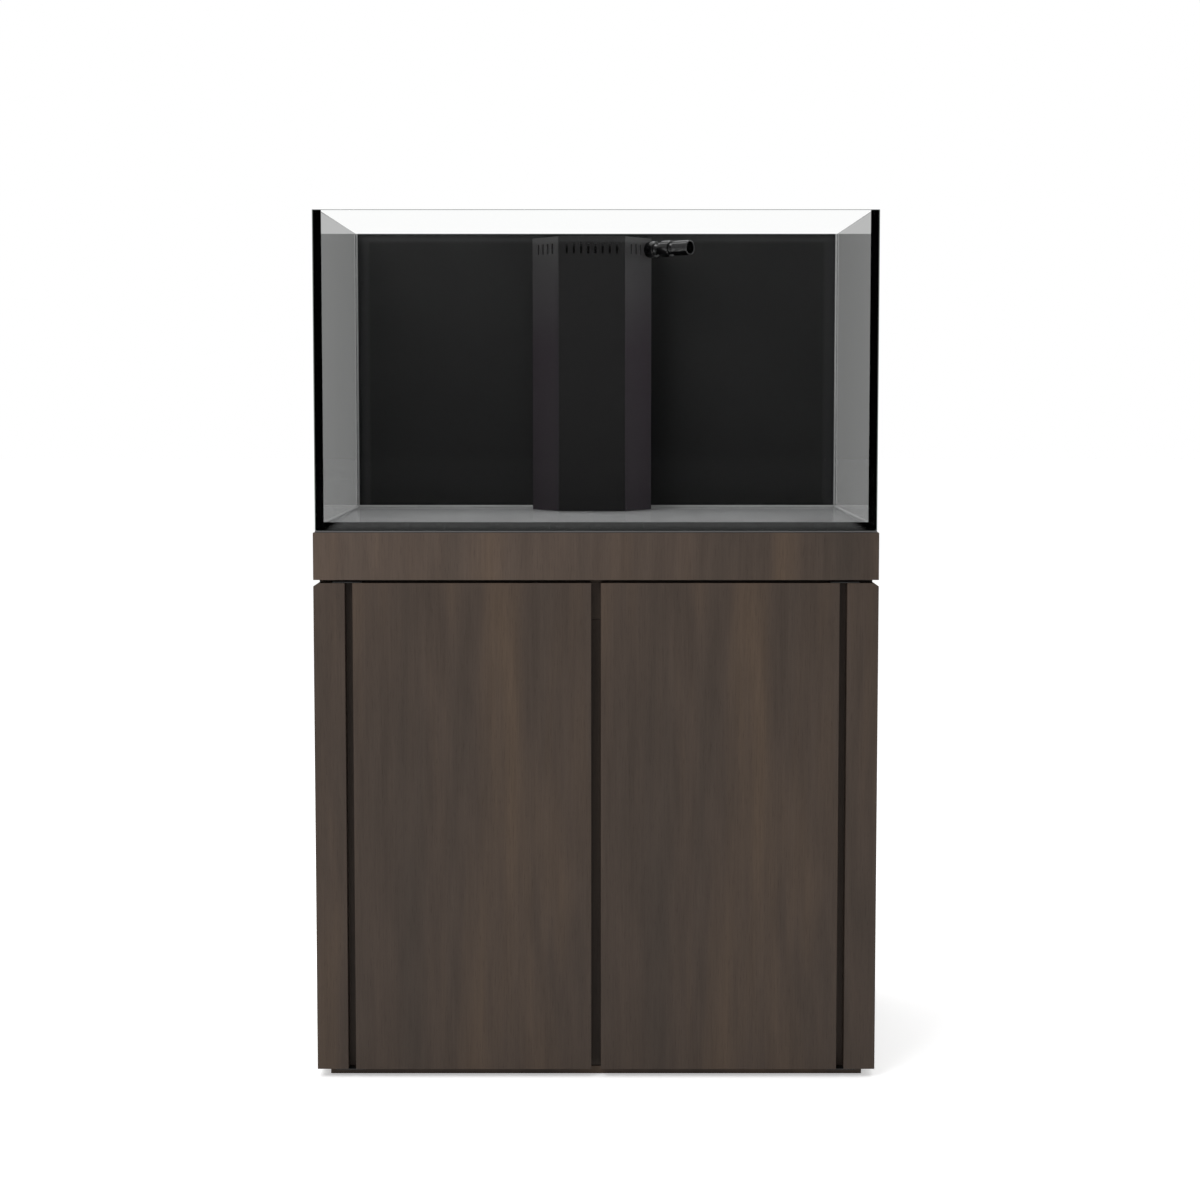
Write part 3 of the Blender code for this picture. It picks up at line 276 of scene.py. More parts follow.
def glass(name, thin_axis, slant=(0.0, 0.0, 0.0), mirroring=0.68, bends=False):
    """A pane of float glass. thin_axis is 0, 1 or 2, the axis across its thickness.

    Its faces pass light, and mirror and darken more as they turn away. Its cut edges look grey-green
    from outside, and only dim what is seen through them from within the pane. bends is for a pane
    that is seen at a low slant, where what is behind it shows out of line.
    """
    paint = Paint(name)
    turned = paint.add("ShaderNodeLayerWeight", {"Blend": 0.5}).outputs["Facing"]
    tint = paint.mixed(paint.maths("POWER", turned, 2.6), GLASS_CLEAR, slant)
    smear = paint.noise(paint.spots(), 5.0, 3.0, 0.6)
    see = paint.add("ShaderNodeBsdfTransparent", {"Color": tint})
    if bends:
        bent = {"Color": tint, "IOR": 1.5, "Roughness": 0.0}
        refracted = paint.add("ShaderNodeBsdfRefraction", bent)
        rays = paint.add("ShaderNodeLightPath").outputs
        lamps = paint.maths("MAXIMUM", rays["Is Shadow Ray"], rays["Is Diffuse Ray"])
        through = {"Fac": lamps, 1: refracted.outputs[0], 2: see.outputs[0]}
        see = paint.add("ShaderNodeMixShader", through)
    gloss = {"Color": (0.97, 0.97, 0.97, 1), "Roughness": paint.span(smear, 0.0, 0.006)}
    shine = paint.add("ShaderNodeBsdfGlossy", gloss)
    steep = paint.maths("POWER", turned, 5.0)
    mirror = paint.maths("ADD", paint.maths("MULTIPLY", steep, mirroring), GLASS_MIRROR)
    face = paint.add("ShaderNodeMixShader", {"Fac": mirror, 1: see.outputs[0], 2: shine.outputs[0]})
    ripple = paint.noise(paint.spots(), 60.0, 3.0, 0.6)
    dim = tuple(0.6 * part for part in GLASS_EDGE)
    green = paint.ramp(ripple, (0.3, dim), (0.7, GLASS_EDGE))
    cut = {"Base Color": green, "Roughness": 0.16, "Coat Weight": 0.4}
    outside = paint.add("ShaderNodeBsdfPrincipled", cut)
    within = paint.add("ShaderNodeBsdfTransparent", {"Color": (*GLASS_WITHIN, 1)})
    behind = paint.add("ShaderNodeNewGeometry").outputs["Backfacing"]
    edge = paint.add(
        "ShaderNodeMixShader", {"Fac": behind, 1: outside.outputs[0], 2: within.outputs[0]}
    )
    coords = paint.add("ShaderNodeTexCoord")
    parts = paint.add("ShaderNodeSeparateXYZ", {"Vector": coords.outputs["Normal"]})
    flat = paint.maths("ABSOLUTE", parts.outputs[thin_axis])
    is_edge = paint.maths("LESS_THAN", flat, 0.5)
    whole = paint.add(
        "ShaderNodeMixShader", {"Fac": is_edge, 1: face.outputs[0], 2: edge.outputs[0]}
    )
    paint.finish(whole.outputs[0])
    return paint.material


def silicone():
    """Silicone seams: black along the front, greyer in their foot from a painted reflection, and clear at
    the sides and back.
    """
    paint = Paint("silicone_black")
    ripple = paint.noise(paint.spots(), 180.0, 2.0, 0.5)
    black = paint.ramp(ripple, (0.3, 0.0002), (0.7, 0.0005))
    grey = paint.ramp(ripple, (0.3, 0.054), (0.7, 0.070))
    coords = paint.add("ShaderNodeTexCoord")
    parts = paint.add("ShaderNodeSeparateXYZ", {"Vector": coords.outputs["Object"]})
    inset = paint.maths("SUBTRACT", TANK_HALF, paint.maths("ABSOLUTE", parts.outputs[0]))
    above = paint.maths("SUBTRACT", parts.outputs[2], MAT_TOP)
    slope = paint.maths("SUBTRACT", inset, paint.maths("MULTIPLY", above, SEAM_FOOT_SLOPE))
    # Painted reflection: the foot of the front seams is greyer, narrowing upwards.
    foot = paint.ramp(slope, (SEAM_FOOT_FADE[0], 0.0), (SEAM_FOOT_FADE[1], 1.0))
    dark = {
        "Base Color": paint.mixed(foot, black, grey),
        "Roughness": paint.span(ripple, 0.34, 0.46),
        "Specular IOR Level": 0.0,
        "Normal": paint.bump(ripple, 0.0003, 0.25),
    }
    front = paint.add("ShaderNodeBsdfPrincipled", dark)
    milky = {"Color": paint.ramp(ripple, (0.3, 0.44), (0.7, 0.52))}
    milk = paint.add("ShaderNodeBsdfDiffuse", milky)
    water = paint.add("ShaderNodeBsdfTransparent", {"Color": (0.90, 0.91, 0.91, 1)})
    clear = paint.add("ShaderNodeMixShader", {"Fac": 0.45, 1: water.outputs[0], 2: milk.outputs[0]})
    past_front = paint.maths("GREATER_THAN", parts.outputs[1], CLEAR_SEAMS_FROM)
    whole = {"Fac": past_front, 1: front.outputs[0], 2: clear.outputs[0]}
    paint.finish(paint.add("ShaderNodeMixShader", whole).outputs[0])
    return paint.material


def moulded(name, colour, rough=0.4, grain=900.0, depth=0.00006, spread=0.25, **more):
    """Moulded plastic with a fine grain and a little unevenness."""
    paint = Paint(name)
    cloud = paint.noise(paint.spots(), 14.0, 3.0, 0.6)
    speck = paint.noise(paint.spots(), grain, 2.0, 0.5)
    low = tuple((1 - spread) * part for part in colour)
    high = tuple((1 + spread) * part for part in colour)
    hue = paint.ramp(cloud, (0.3, low), (0.7, high))
    dull = paint.span(cloud, rough - 0.05, rough + 0.06)
    return paint.surface(hue, dull, paint.bump(speck, depth, 0.5), **more)


def film(high):
    """Black backing film, paler along its top and sides with a painted reflection, and dark with painted
    shade behind the weir.

    high is the film's highest corner.
    """
    paint = Paint("film_black")
    coords = paint.add("ShaderNodeTexCoord")
    parts = paint.add("ShaderNodeSeparateXYZ", {"Vector": coords.outputs["Object"]})
    across, up = parts.outputs[0], parts.outputs[2]
    inset = paint.maths("SUBTRACT", high.x, paint.maths("ABSOLUTE", across))
    below = paint.maths("SUBTRACT", high.z, up)
    # Painted reflection: paler margins along the film's sides and top.
    side = paint.ramp(inset, (FILM_SIDE_FADE[0], 1.0), (FILM_SIDE_FADE[1], 0.0))
    top = paint.ramp(below, (FILM_TOP_FADE[0], 1.0), (FILM_TOP_FADE[1], 0.0))
    cloud = paint.noise(paint.spots(), 6.0, 4.0, 0.6)
    plain = paint.ramp(cloud, (0.3, 0.0172), (0.7, 0.0198))
    sided = paint.mixed(side, plain, (0.0290, 0.0290, 0.0295))
    edged = paint.mixed(top, sided, (0.0370, 0.0370, 0.0375))
    # Painted shade: the film's inward face behind the weir is darkened to near black.
    off_weir = paint.maths("ABSOLUTE", paint.maths("SUBTRACT", across, WEIR_MIDDLE))
    shaded = paint.ramp(off_weir, (WEIR_HALF - 0.004, 1.0), (WEIR_HALF, 0.0))
    facing = paint.add("ShaderNodeSeparateXYZ", {"Vector": coords.outputs["Normal"]}).outputs[1]
    inward = paint.maths("LESS_THAN", facing, -0.5)
    low_enough = paint.maths("LESS_THAN", up, WEIR_TOP)
    weir_painted_shade = paint.maths("MULTIPLY", shaded, paint.maths("MULTIPLY", inward, low_enough))
    hue = paint.mixed(weir_painted_shade, edged, (0.0012, 0.0012, 0.0012))
    speck = paint.noise(paint.spots(), 700.0, 2.0, 0.5)
    rough = paint.span(cloud, 0.50, 0.62)
    return paint.surface(hue, rough, paint.bump(speck, 0.00002, 0.2), Specular_IOR_Level=0.06)


def weir_plastic(name, low_hue, lit_top_hue, rim_reflection_hue):
    """Smooth black sheet, lighter towards its top with painted light, and with a paler band along its top
    that is a painted reflection.
    """
    paint = Paint(name)
    cloud = paint.noise(paint.spots(), 14.0, 3.0, 0.6)
    speck = paint.noise(paint.spots(), 900.0, 2.0, 0.5)
    coords = paint.add("ShaderNodeTexCoord")
    height = paint.add("ShaderNodeSeparateXYZ", {"Vector": coords.outputs["Object"]}).outputs[2]
    below = paint.maths("SUBTRACT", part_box("weir_front")[1].z, height)
    # Painted reflection: a paler band along the top edge.
    rim = paint.ramp(below, (WEIR_RIM_FADE[0], 1.0), (WEIR_RIM_FADE[1], 0.0))
    # Painted light: paler towards the top, with random patches.
    patchy = paint.maths("ADD", below, paint.maths("MULTIPLY", cloud, 0.08))
    plain = paint.ramp(patchy, (0.04, lit_top_hue), (0.24, low_hue))
    hue = paint.mixed(rim, plain, rim_reflection_hue)
    dull = paint.span(cloud, 0.34, 0.40)
    return paint.surface(hue, dull, paint.bump(speck, 0.00004, 0.4), Specular_IOR_Level=0.13)


def clear_sheet():
    """Clear acrylic, faintly blue and a little scuffed, that mirrors more as it turns away."""
    paint = Paint("acrylic_clear")
    turned = paint.add("ShaderNodeLayerWeight", {"Blend": 0.5}).outputs["Facing"]
    tint = paint.mixed(paint.maths("POWER", turned, 2.0), (0.86, 0.90, 0.92), (0.30, 0.36, 0.40))
    see = paint.add("ShaderNodeBsdfTransparent", {"Color": tint})
    scuff = paint.noise(paint.spots(), 40.0, 4.0, 0.7)
    gloss = {"Color": (0.9, 0.93, 0.95, 1), "Roughness": paint.span(scuff, 0.01, 0.06)}
    shine = paint.add("ShaderNodeBsdfGlossy", gloss)
    mirror = paint.maths("ADD", paint.maths("MULTIPLY", paint.maths("POWER", turned, 3.0), 0.4), 0.010)
    sheet = {"Fac": mirror, 1: see.outputs[0], 2: shine.outputs[0]}
    paint.finish(paint.add("ShaderNodeMixShader", sheet).outputs[0])
    return paint.material


def foam():
    paint = Paint("foam_grey")
    cell = paint.noise(paint.spots(), 1500.0, 3.0, 0.7)
    cloud = paint.noise(paint.spots(), 12.0, 3.0)
    hue = paint.ramp(cloud, (0.3, (0.172, 0.172, 0.175)), (0.7, (0.200, 0.200, 0.203)))
    pocked = paint.mixed(0.3, hue, paint.ramp(cell, (0.3, 0.6), (0.6, 1.0)), "MULTIPLY")
    coords = paint.add("ShaderNodeTexCoord")
    facing = paint.add("ShaderNodeSeparateXYZ", {"Vector": coords.outputs["Normal"]}).outputs[2]
    # Painted shade: the mat's upright sides are darker than its top.
    sides = paint.ramp(paint.maths("ABSOLUTE", facing), (0.2, 0.55), (0.6, 1.0))
    cut = paint.mixed(1.0, pocked, sides, "MULTIPLY")
    return paint.surface(cut, 0.9, paint.bump(cell, 0.0003, 0.5))


def steel():
    paint = Paint("steel_brushed")
    brush = paint.noise(paint.spots((1, 1, 30)), 160.0, 4.0, 0.6)
    hue = paint.ramp(brush, (0.3, (0.50, 0.50, 0.51)), (0.7, (0.66, 0.66, 0.67)))
    rough = paint.span(brush, 0.26, 0.42)
    return paint.surface(hue, rough, paint.bump(brush, 0.00004, 0.5), Metallic=1.0)


def felt():
    paint = Paint("felt_white")
    tuft = paint.noise(paint.spots(), 900.0, 5.0, 0.75, 0.6)
    lump = paint.noise(paint.spots(), 60.0, 3.0)
    hue = paint.ramp(lump, (0.3, (0.66, 0.65, 0.61)), (0.7, (0.80, 0.79, 0.76)))
    woolly = paint.mixed(0.5, hue, paint.ramp(tuft, (0.25, 0.62), (0.65, 1.0)), "MULTIPLY")
    height = paint.maths("ADD", tuft, paint.maths("MULTIPLY", lump, 2.0))
    return paint.surface(woolly, 0.95, paint.bump(height, 0.0008, 0.8), Sheen_Weight=0.3)


def hose_rubber():
    """Soft grey-black hose with a light spiral of cords showing through its wall."""
    paint = Paint("hose_vinyl")
    cloud = paint.noise(paint.spots(), 30.0, 3.0)
    wave = paint.add("ShaderNodeTexWave", {"Vector": paint.spots(), "Scale": 42.0, "Distortion": 0.6})
    wave.bands_direction = "Z"
    hue = paint.ramp(cloud, (0.3, (0.014, 0.015, 0.016)), (0.7, (0.024, 0.025, 0.027)))
    corded = paint.mixed(0.5, hue, paint.ramp(wave.outputs[1], (0.2, 0.6), (0.8, 1.0)), "MULTIPLY")
    return paint.surface(corded, 0.42, paint.bump(wave.outputs[1], 0.0006, 0.5))


weir_low_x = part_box("weir_side_left")[0].x
weir_high_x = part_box("weir_side_right")[1].x
WEIR_MIDDLE = (weir_low_x + weir_high_x) / 2
WEIR_HALF = (weir_high_x - weir_low_x) / 2
WEIR_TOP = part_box("weir_front")[1].z - WEIR_SHADE_BELOW
MATERIALS = {
    "silicone": silicone(),
    "film": film(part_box("back_film")[1]),
    # The weir's hues, paler towards its top and at its rim, hold painted light and a painted reflection.
    "weir_plastic": weir_plastic(
        "weir_black", (0.0082, 0.0080, 0.0082), (0.0092, 0.0090, 0.0092), (0.020, 0.020, 0.0203)
    ),
    "black_pvc": moulded(
        "pvc_black", (0.0014, 0.0014, 0.0016), 0.13, depth=0.00001, Specular_IOR_Level=0.44
    ),
    "pipe_pvc": moulded("pvc_grey", (0.34, 0.35, 0.36), 0.38, spread=0.08),
    "foam": foam(),
    "laminate": walnut("walnut"),
    "dark_board": walnut("walnut_dark", (0.31, 0.0, 0.2), 0.72),
    "acrylic": clear_sheet(),
    "felt": felt(),
    "pump_plastic": moulded("pump_black", (0.016, 0.016, 0.018), 0.36, grain=500.0),
    "red_plastic": moulded("handle_red", (0.52, 0.022, 0.018), 0.34, spread=0.12),
    "hose": hose_rubber(),
    "steel": steel(),
    "thread": moulded("thread_grey", (0.42, 0.41, 0.39), 0.7, spread=0.15),
    "dark_steel": moulded("steel_blackened", (0.008, 0.0075, 0.0075), 0.35, Metallic=0.3),
}
GLASS_OF_NODE = {
    "front_glass": glass("glass_front", 1),
    "back_glass": glass("glass_back", 1),
    "left_glass": glass("glass_left", 0, bends=True),
    "right_glass": glass("glass_right", 0, bends=True),
    "bottom_glass": glass("glass_bottom", 2, (1.0, 1.0, 1.0), 0.41, bends=True),
}
LOOK_OF_NODE = {
    **GLASS_OF_NODE,
    "door_left": walnut("walnut_door_left", (0.199, 0.0, 0.0)),
    "door_right": walnut("walnut_door_right", (-0.199, 0.0, 0.0)),
    # The weir's chamfers are paler copies of its plastic, lightest at the top and the right one more than
    # the left: painted light and painted reflection from the sides.
    "weir_chamfer_left": weir_plastic(
        "weir_black_left_lit", (0.0112, 0.0080, 0.0110), (0.0225, 0.0221, 0.0224), (0.032, 0.032, 0.0323)
    ),
    "weir_chamfer_right": weir_plastic(
        "weir_black_right_lit", (0.0220, 0.0165, 0.0216), (0.0430, 0.0425, 0.0430), (0.058, 0.058, 0.0583)
    ),
    # The front trim is a lighter copy of the walnut, lightest at its left end: painted light.
    "trim_front": walnut("walnut_trim_front_lit", (0.07, 0.0, 0.9), 1.48, 0.30),
    "neck_plate": MATERIALS["dark_board"],
    "centre_post": MATERIALS["dark_board"],
    "pivot_left_top": MATERIALS["dark_steel"],
    "pivot_left_bottom": MATERIALS["dark_steel"],
    "pivot_right_top": MATERIALS["dark_steel"],
    "pivot_right_bottom": MATERIALS["dark_steel"],
}


# -------------------------------------------------------------- CAD node looks


def smooth_group():
    """Nodes that shade round faces smooth and leave real edges sharp."""
    group = bpy.data.node_groups.new("soften", "GeometryNodeTree")
    group.interface.new_socket("Geometry", in_out="INPUT", socket_type="NodeSocketGeometry")
    group.interface.new_socket("Geometry", in_out="OUTPUT", socket_type="NodeSocketGeometry")
    enter, leave = group.nodes.new("NodeGroupInput"), group.nodes.new("NodeGroupOutput")
    drop = group.nodes.new("GeometryNodeRemoveAttribute")
    drop.inputs["Name"].default_value = "custom_normal"
    faces = group.nodes.new("GeometryNodeSetShadeSmooth")
    edges = group.nodes.new("GeometryNodeSetShadeSmooth")
    edges.domain = "EDGE"
    edges.inputs["Shade Smooth"].default_value = False
    angle = group.nodes.new("GeometryNodeInputMeshEdgeAngle")
    sharp = group.nodes.new("FunctionNodeCompare")
    sharp.inputs[1].default_value = SOFT_ANGLE
    link = group.links.new
    link(enter.outputs[0], drop.inputs["Geometry"])
    link(drop.outputs[0], faces.inputs["Geometry"])
    link(faces.outputs[0], edges.inputs["Geometry"])
    link(angle.outputs["Unsigned Angle"], sharp.inputs[0])
    link(sharp.outputs[0], edges.inputs["Selection"])
    link(edges.outputs[0], leave.inputs[0])
    return group


SOFTEN = smooth_group()


def dress(name, node):
    """Gives a CAD node its material, small rounded edges and smooth round faces."""
    slot = node.material_slots[0].material.name.split(".")[0]
    material = LOOK_OF_NODE.get(name) or MATERIALS[slot]
    for place in node.material_slots:
        place.material = material
    weld = node.modifiers.new("weld", "WELD")
    weld.merge_threshold = WELD_REACH
    if slot in BEVELS:
        merge = node.modifiers.new("flatten", "DECIMATE")
        merge.decimate_type = "DISSOLVE"
        merge.angle_limit = FLAT_ANGLE
        bevel = node.modifiers.new("edges", "BEVEL")
        bevel.width = BEVELS[slot]
        bevel.segments = BEVEL_STEPS
        bevel.limit_method = "ANGLE"
        bevel.angle_limit = BEVEL_ANGLE
    soften = node.modifiers.new("soften", "NODES")
    soften.node_group = SOFTEN


for node_name, cad_node in NODES.items():
    dress(node_name, cad_node)


# ------------------------------------------------------------------- fittings


def piece_from(name, shape, material, body, smooth=True):
    """Turns a bmesh into a piece with a material, riding on a body."""
    mesh = bpy.data.meshes.new(name)
    shape.to_mesh(mesh)
    shape.free()
    mesh.materials.append(material)
    for face in mesh.polygons:
        face.use_smooth = smooth
    piece = bpy.data.objects.new(name, mesh)
    bpy.context.scene.collection.objects.link(piece)
    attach(piece, body)
    return piece


def rounded(piece, width):
    """Rounds a piece's edges and leaves its flat faces flat."""
    bevel = piece.modifiers.new("edges", "BEVEL")
    bevel.width = width
    bevel.segments = BEVEL_STEPS
    bevel.limit_method = "ANGLE"
    soften = piece.modifiers.new("soften", "NODES")
    soften.node_group = SOFTEN
    return piece


def sweep(shape, rings):
    """Joins rings of points, each a list of the same length, into a tube. Returns the ring verts."""
    rows = [[shape.verts.new(point) for point in ring] for ring in rings]
    for low, high in zip(rows, rows[1:]):
        for number, vert in enumerate(low):
            after = (number + 1) % len(low)
            shape.faces.new((vert, low[after], high[after], high[number]))
    return rows


def cap(shape, ring, flip=False):
    shape.faces.new(ring if flip else list(reversed(ring)))


def circle(centre, radius, axis, count=24, start=0.0):
    """Points round a centre, in the plane that axis crosses."""
    turn = Vector(axis).to_track_quat("Z", "X")
    spots = []
    for number in range(count):
        angle = start + 2 * math.pi * number / count
        spots.append(Vector(centre) + turn @ Vector((math.cos(angle), math.sin(angle), 0)) * radius)
    return spots


def lathe(shape, centre, axis, profile, count=32, start=0.0, closed=False):
    """Turns a profile of (along, radius) pairs about an axis through centre."""
    along = Vector(axis).normalized()
    rings = []
    for far, radius in profile:
        rings.append(circle(Vector(centre) + along * far, radius, axis, count, start))
    if closed:
        rings.append(rings[0])
    rows = sweep(shape, rings)
    if closed:
        bmesh.ops.remove_doubles(shape, verts=shape.verts, dist=1e-6)
    else:
        cap(shape, rows[0])
        cap(shape, rows[-1], True)
    return rows


def add_box(shape, low, high):
    low, high = Vector(low), Vector(high)
    middle, size = (low + high) / 2, high - low
    grown = Matrix.Translation(middle) @ Matrix.Diagonal((*size, 1))
    bmesh.ops.create_cube(shape, size=1, matrix=grown)


def make_sock():
    """The filter sock: a sewn felt bag that hangs from its plastic ring."""
    low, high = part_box("filter_sock")
    middle = (low + high) / 2
    ring_radius = (high.x - low.x) / 2
    bag_top = high.z - SOCK_BELOW_RIM
    depth = bag_top - low.z - SOCK_CLEARANCE
    bag_radius = ring_radius - SOCK_RING_LIP
    rings = []
    curved = 1 - SOCK_STRAIGHT
    for step in range(SOCK_STEPS + 1):
        share = step / SOCK_STEPS
        round_off = max(share - SOCK_STRAIGHT, 0.0) / curved
        radius = bag_radius * math.sqrt(max(1 - round_off**2.6, 0.0004))
        down = share if share < SOCK_STRAIGHT else SOCK_STRAIGHT + curved * math.sin(round_off * 1.5708)
        z = bag_top - depth * down
        ring = []
        for number in range(SOCK_SIDES):
            angle = 2 * math.pi * number / SOCK_SIDES
            hang = math.sin(math.pi * min(share / 0.9, 1.0))
            fold = 0.0016 * hang * math.sin(SOCK_FOLDS * angle + 1.3 + 1.1 * math.sin(5 * share))
            fold += 0.0008 * hang * math.sin(11 * angle + 7 * share)
            fold += 0.0005 * math.sin(23 * share + 2 * angle) * hang
            reach = max(radius + fold * min(radius / bag_radius * 1.4, 1.0), 0.0005)
            ring.append((middle.x + reach * math.cos(angle), middle.y + reach * math.sin(angle), z))
        rings.append(ring)
    shape = bmesh.new()
    rows = sweep(shape, rings)
    cap(shape, rows[-1], True)
    area = sum(face.calc_area() for face in shape.faces)
    bag = piece_from("sock_bag", shape, MATERIALS["felt"], "filter_sock")
    wall = bag.modifiers.new("felt", "SOLIDIFY")
    wall.thickness = SOCK_FELT
    wall.offset = 0
    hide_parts("filter_sock")

    shape = bmesh.new()
    inner = bag_radius - SOCK_FELT / 2
    profile = [
        (-0.0060, ring_radius - 0.0006),
        (-0.0052, ring_radius),
        (-0.0010, ring_radius),
        (-0.0002, ring_radius - 0.0008),
        (-0.0002, inner - 0.0010),
        (-0.0010, inner - 0.0018),
        (-0.0220, inner - 0.0018),
        (-0.0220, inner - 0.0003),
        (-0.0060, inner - 0.0003),
    ]
    lathe(shape, (middle.x, middle.y, high.z), (0, 0, 1), profile, 64, closed=True)
    bmesh.ops.recalc_face_normals(shape, faces=shape.faces)
    piece_from("sock_ring", shape, MATERIALS["weir_plastic"], "filter_sock", False)

    shape = bmesh.new()
    stitch_radius = bag_radius + 0.0016
    for level in STITCH_LEVELS:
        for number in range(STITCHES_ROUND):
            angle = 2 * math.pi * (number + 0.5) / STITCHES_ROUND
            out = Vector((math.cos(angle), math.sin(angle), 0))
            side = Vector((-out.y, out.x, 0))
            centre = Vector((middle.x, middle.y, high.z + level)) + out * stitch_radius
            half = side * STITCH_HALF
            add_thread(shape, centre - half, centre + half, 0.00035)
    for number in range(STITCHES_DOWN):
        z = high.z - 0.018 - STITCH_PITCH * number
        centre = Vector((middle.x, middle.y - stitch_radius - 0.0004, z))
        add_thread(shape, centre, centre - Vector((0, 0, 0.0030)), 0.0004)
    piece_from("sock_stitches", shape, MATERIALS["thread"], "filter_sock")


def add_thread(shape, start, end, radius):
    """One short stitch, thinner at its ends."""
    start, end = Vector(start), Vector(end)
    along = end - start
    rings = []
    for share, size in ((0, 0.3), (0.2, 1.0), (0.8, 1.0), (1, 0.3)):
        rings.append(circle(start + along * share, radius * size, along, 6))
    rows = sweep(shape, rings)
    cap(shape, rows[0])
    cap(shape, rows[-1], True)


def hose_line(start, end, steps):
    """Straight out of both fittings, with one easy bend between."""
    pull = Vector((0, 0, 0.45 * (end.z - start.z)))
    points = []
    for number in range(steps + 1):
        share = number / steps
        rest = 1 - share
        spot = rest**3 * start + 3 * rest**2 * share * (start + pull)
        points.append(spot + 3 * rest * share**2 * (end - pull) + share**3 * end)
    return points


def make_hose():
    """The return hose: reinforced and faintly ribbed, between the pump and the return fitting."""
    low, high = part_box("return_hose")
    start = Vector((*HOSE_START, low.z))
    end = Vector((*HOSE_END, high.z))
    line = hose_line(start, end, HOSE_STEPS)
    shape = bmesh.new()
    rings = []
    for number, point in enumerate(line):
        ahead = line[min(number + 1, len(line) - 1)]
        behind = line[max(number - 1, 0)]
        along = (ahead - behind).normalized()
        swell = HOSE_RADIUS - HOSE_RIB + HOSE_RIB * math.cos(2 * math.pi * number / HOSE_RIB_STEPS)
        rings.append(circle(point, swell, along, HOSE_SIDES))
    rows = sweep(shape, rings)
    cap(shape, rows[0])
    cap(shape, rows[-1], True)
    hose = piece_from("return_hose_ribbed", shape, MATERIALS["hose"], CABINET)
    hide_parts("return_hose")
    for name, step in (("clamp_pump", CLAMP_STEP), ("clamp_return", HOSE_STEPS - CLAMP_STEP)):
        along = line[step + 2] - line[step - 2]
        make_clamp(name, line[step], along, HOSE_RADIUS)


def make_clamp(name, centre, along, radius):
    """A worm-drive clamp: a slotted steel band and the housing of its screw."""
    along = Vector(along).normalized()
    shape = bmesh.new()
    profile = [
        (-0.0045, radius + 0.0002),
        (0.0045, radius + 0.0002),
        (0.0045, radius + 0.0011),
        (-0.0045, radius + 0.0011),
    ]
    lathe(shape, centre, along, profile, 40, closed=True)
    front = Vector((0, -1, 0))
    side = along.cross(front).normalized()
    housing = Vector(centre) + front * (radius + 0.0030)
    turn = Matrix((side, front, along)).transposed().to_4x4()
    place = Matrix.Translation(housing) @ turn @ Matrix.Diagonal((0.012, 0.0050, 0.0085, 1))
    bmesh.ops.create_cube(shape, size=1, matrix=place)
    lathe(shape, housing + side * 0.006, side, [(0, 0.0030), (0.004, 0.0030), (0.0046, 0.0024)], 12)
    for number in range(9):
        angle = math.radians(60 + 30 * number)
        out = Matrix.Rotation(angle, 3, along) @ front
        spot = Vector(centre) + out * (radius + 0.0012)
        wide = along.cross(out).normalized()
        turn = Matrix((wide, out, along)).transposed().to_4x4()
        notch = Matrix.Translation(spot) @ turn @ Matrix.Diagonal((0.0012, 0.0005, 0.0060, 1))
        bmesh.ops.create_cube(shape, size=1, matrix=notch)
    bmesh.ops.recalc_face_normals(shape, faces=shape.faces)
    clamp = piece_from(name, shape, MATERIALS["steel"], CABINET, False)
    return rounded(clamp, 0.0003)


def add_screw(shape, spot, out, radius, deep=0.0012):
    """A countersunk screw's head with a cross recess, its face just proud of a surface."""
    out = Vector(out).normalized()
    profile = [(-deep, radius), (0.0001, radius), (0.0003, radius * 0.93)]
    lathe(shape, spot, out, profile, 20)
    turn = out.to_track_quat("Z", "X").to_matrix().to_4x4()
    for quarter in (0, math.pi / 2):
        spin = Matrix.Rotation(quarter + 0.4, 4, "Z")
        bar = Matrix.Diagonal((radius * 1.1, radius * 0.24, 0.0002, 1))
        place = Matrix.Translation(Vector(spot) + out * 0.00035) @ turn @ spin @ bar
        bmesh.ops.create_cube(shape, size=1, matrix=place)


def make_pump_details():
    """A slotted intake on the pump's front, and the screws of its top."""
    middle = (PUMP_BODY_LOW + PUMP_BODY_HIGH) / 2
    front = PUMP_BODY_LOW.y
    shape = bmesh.new()
    for number in range(-4, 5):
        x = middle.x + number * 0.0060
        add_box(
            shape,
            (x - 0.0015, front - 0.0022, middle.z - 0.022),
            (x + 0.0015, front + 0.0010, middle.z + 0.022),
        )
    for z in (-0.024, 0.0, 0.024):
        add_box(
            shape,
            (middle.x - 0.0285, front - 0.0027, middle.z + z - 0.0018),
            (middle.x + 0.0285, front + 0.0010, middle.z + z + 0.0018),
        )
    grille = piece_from(
        "pump_grille", shape, MATERIALS["pump_plastic"], CABINET, False
    )
    rounded(grille, 0.0004)
    shape = bmesh.new()
    for x in (-0.026, 0.026):
        for y in (-0.040, 0.040):
            spot = (middle.x + x, middle.y + y, PUMP_BODY_HIGH.z)
            add_screw(shape, spot, (0, 0, 1), PUMP_SCREW_RADIUS)
    piece_from("pump_screws", shape, MATERIALS["steel"], CABINET, False)


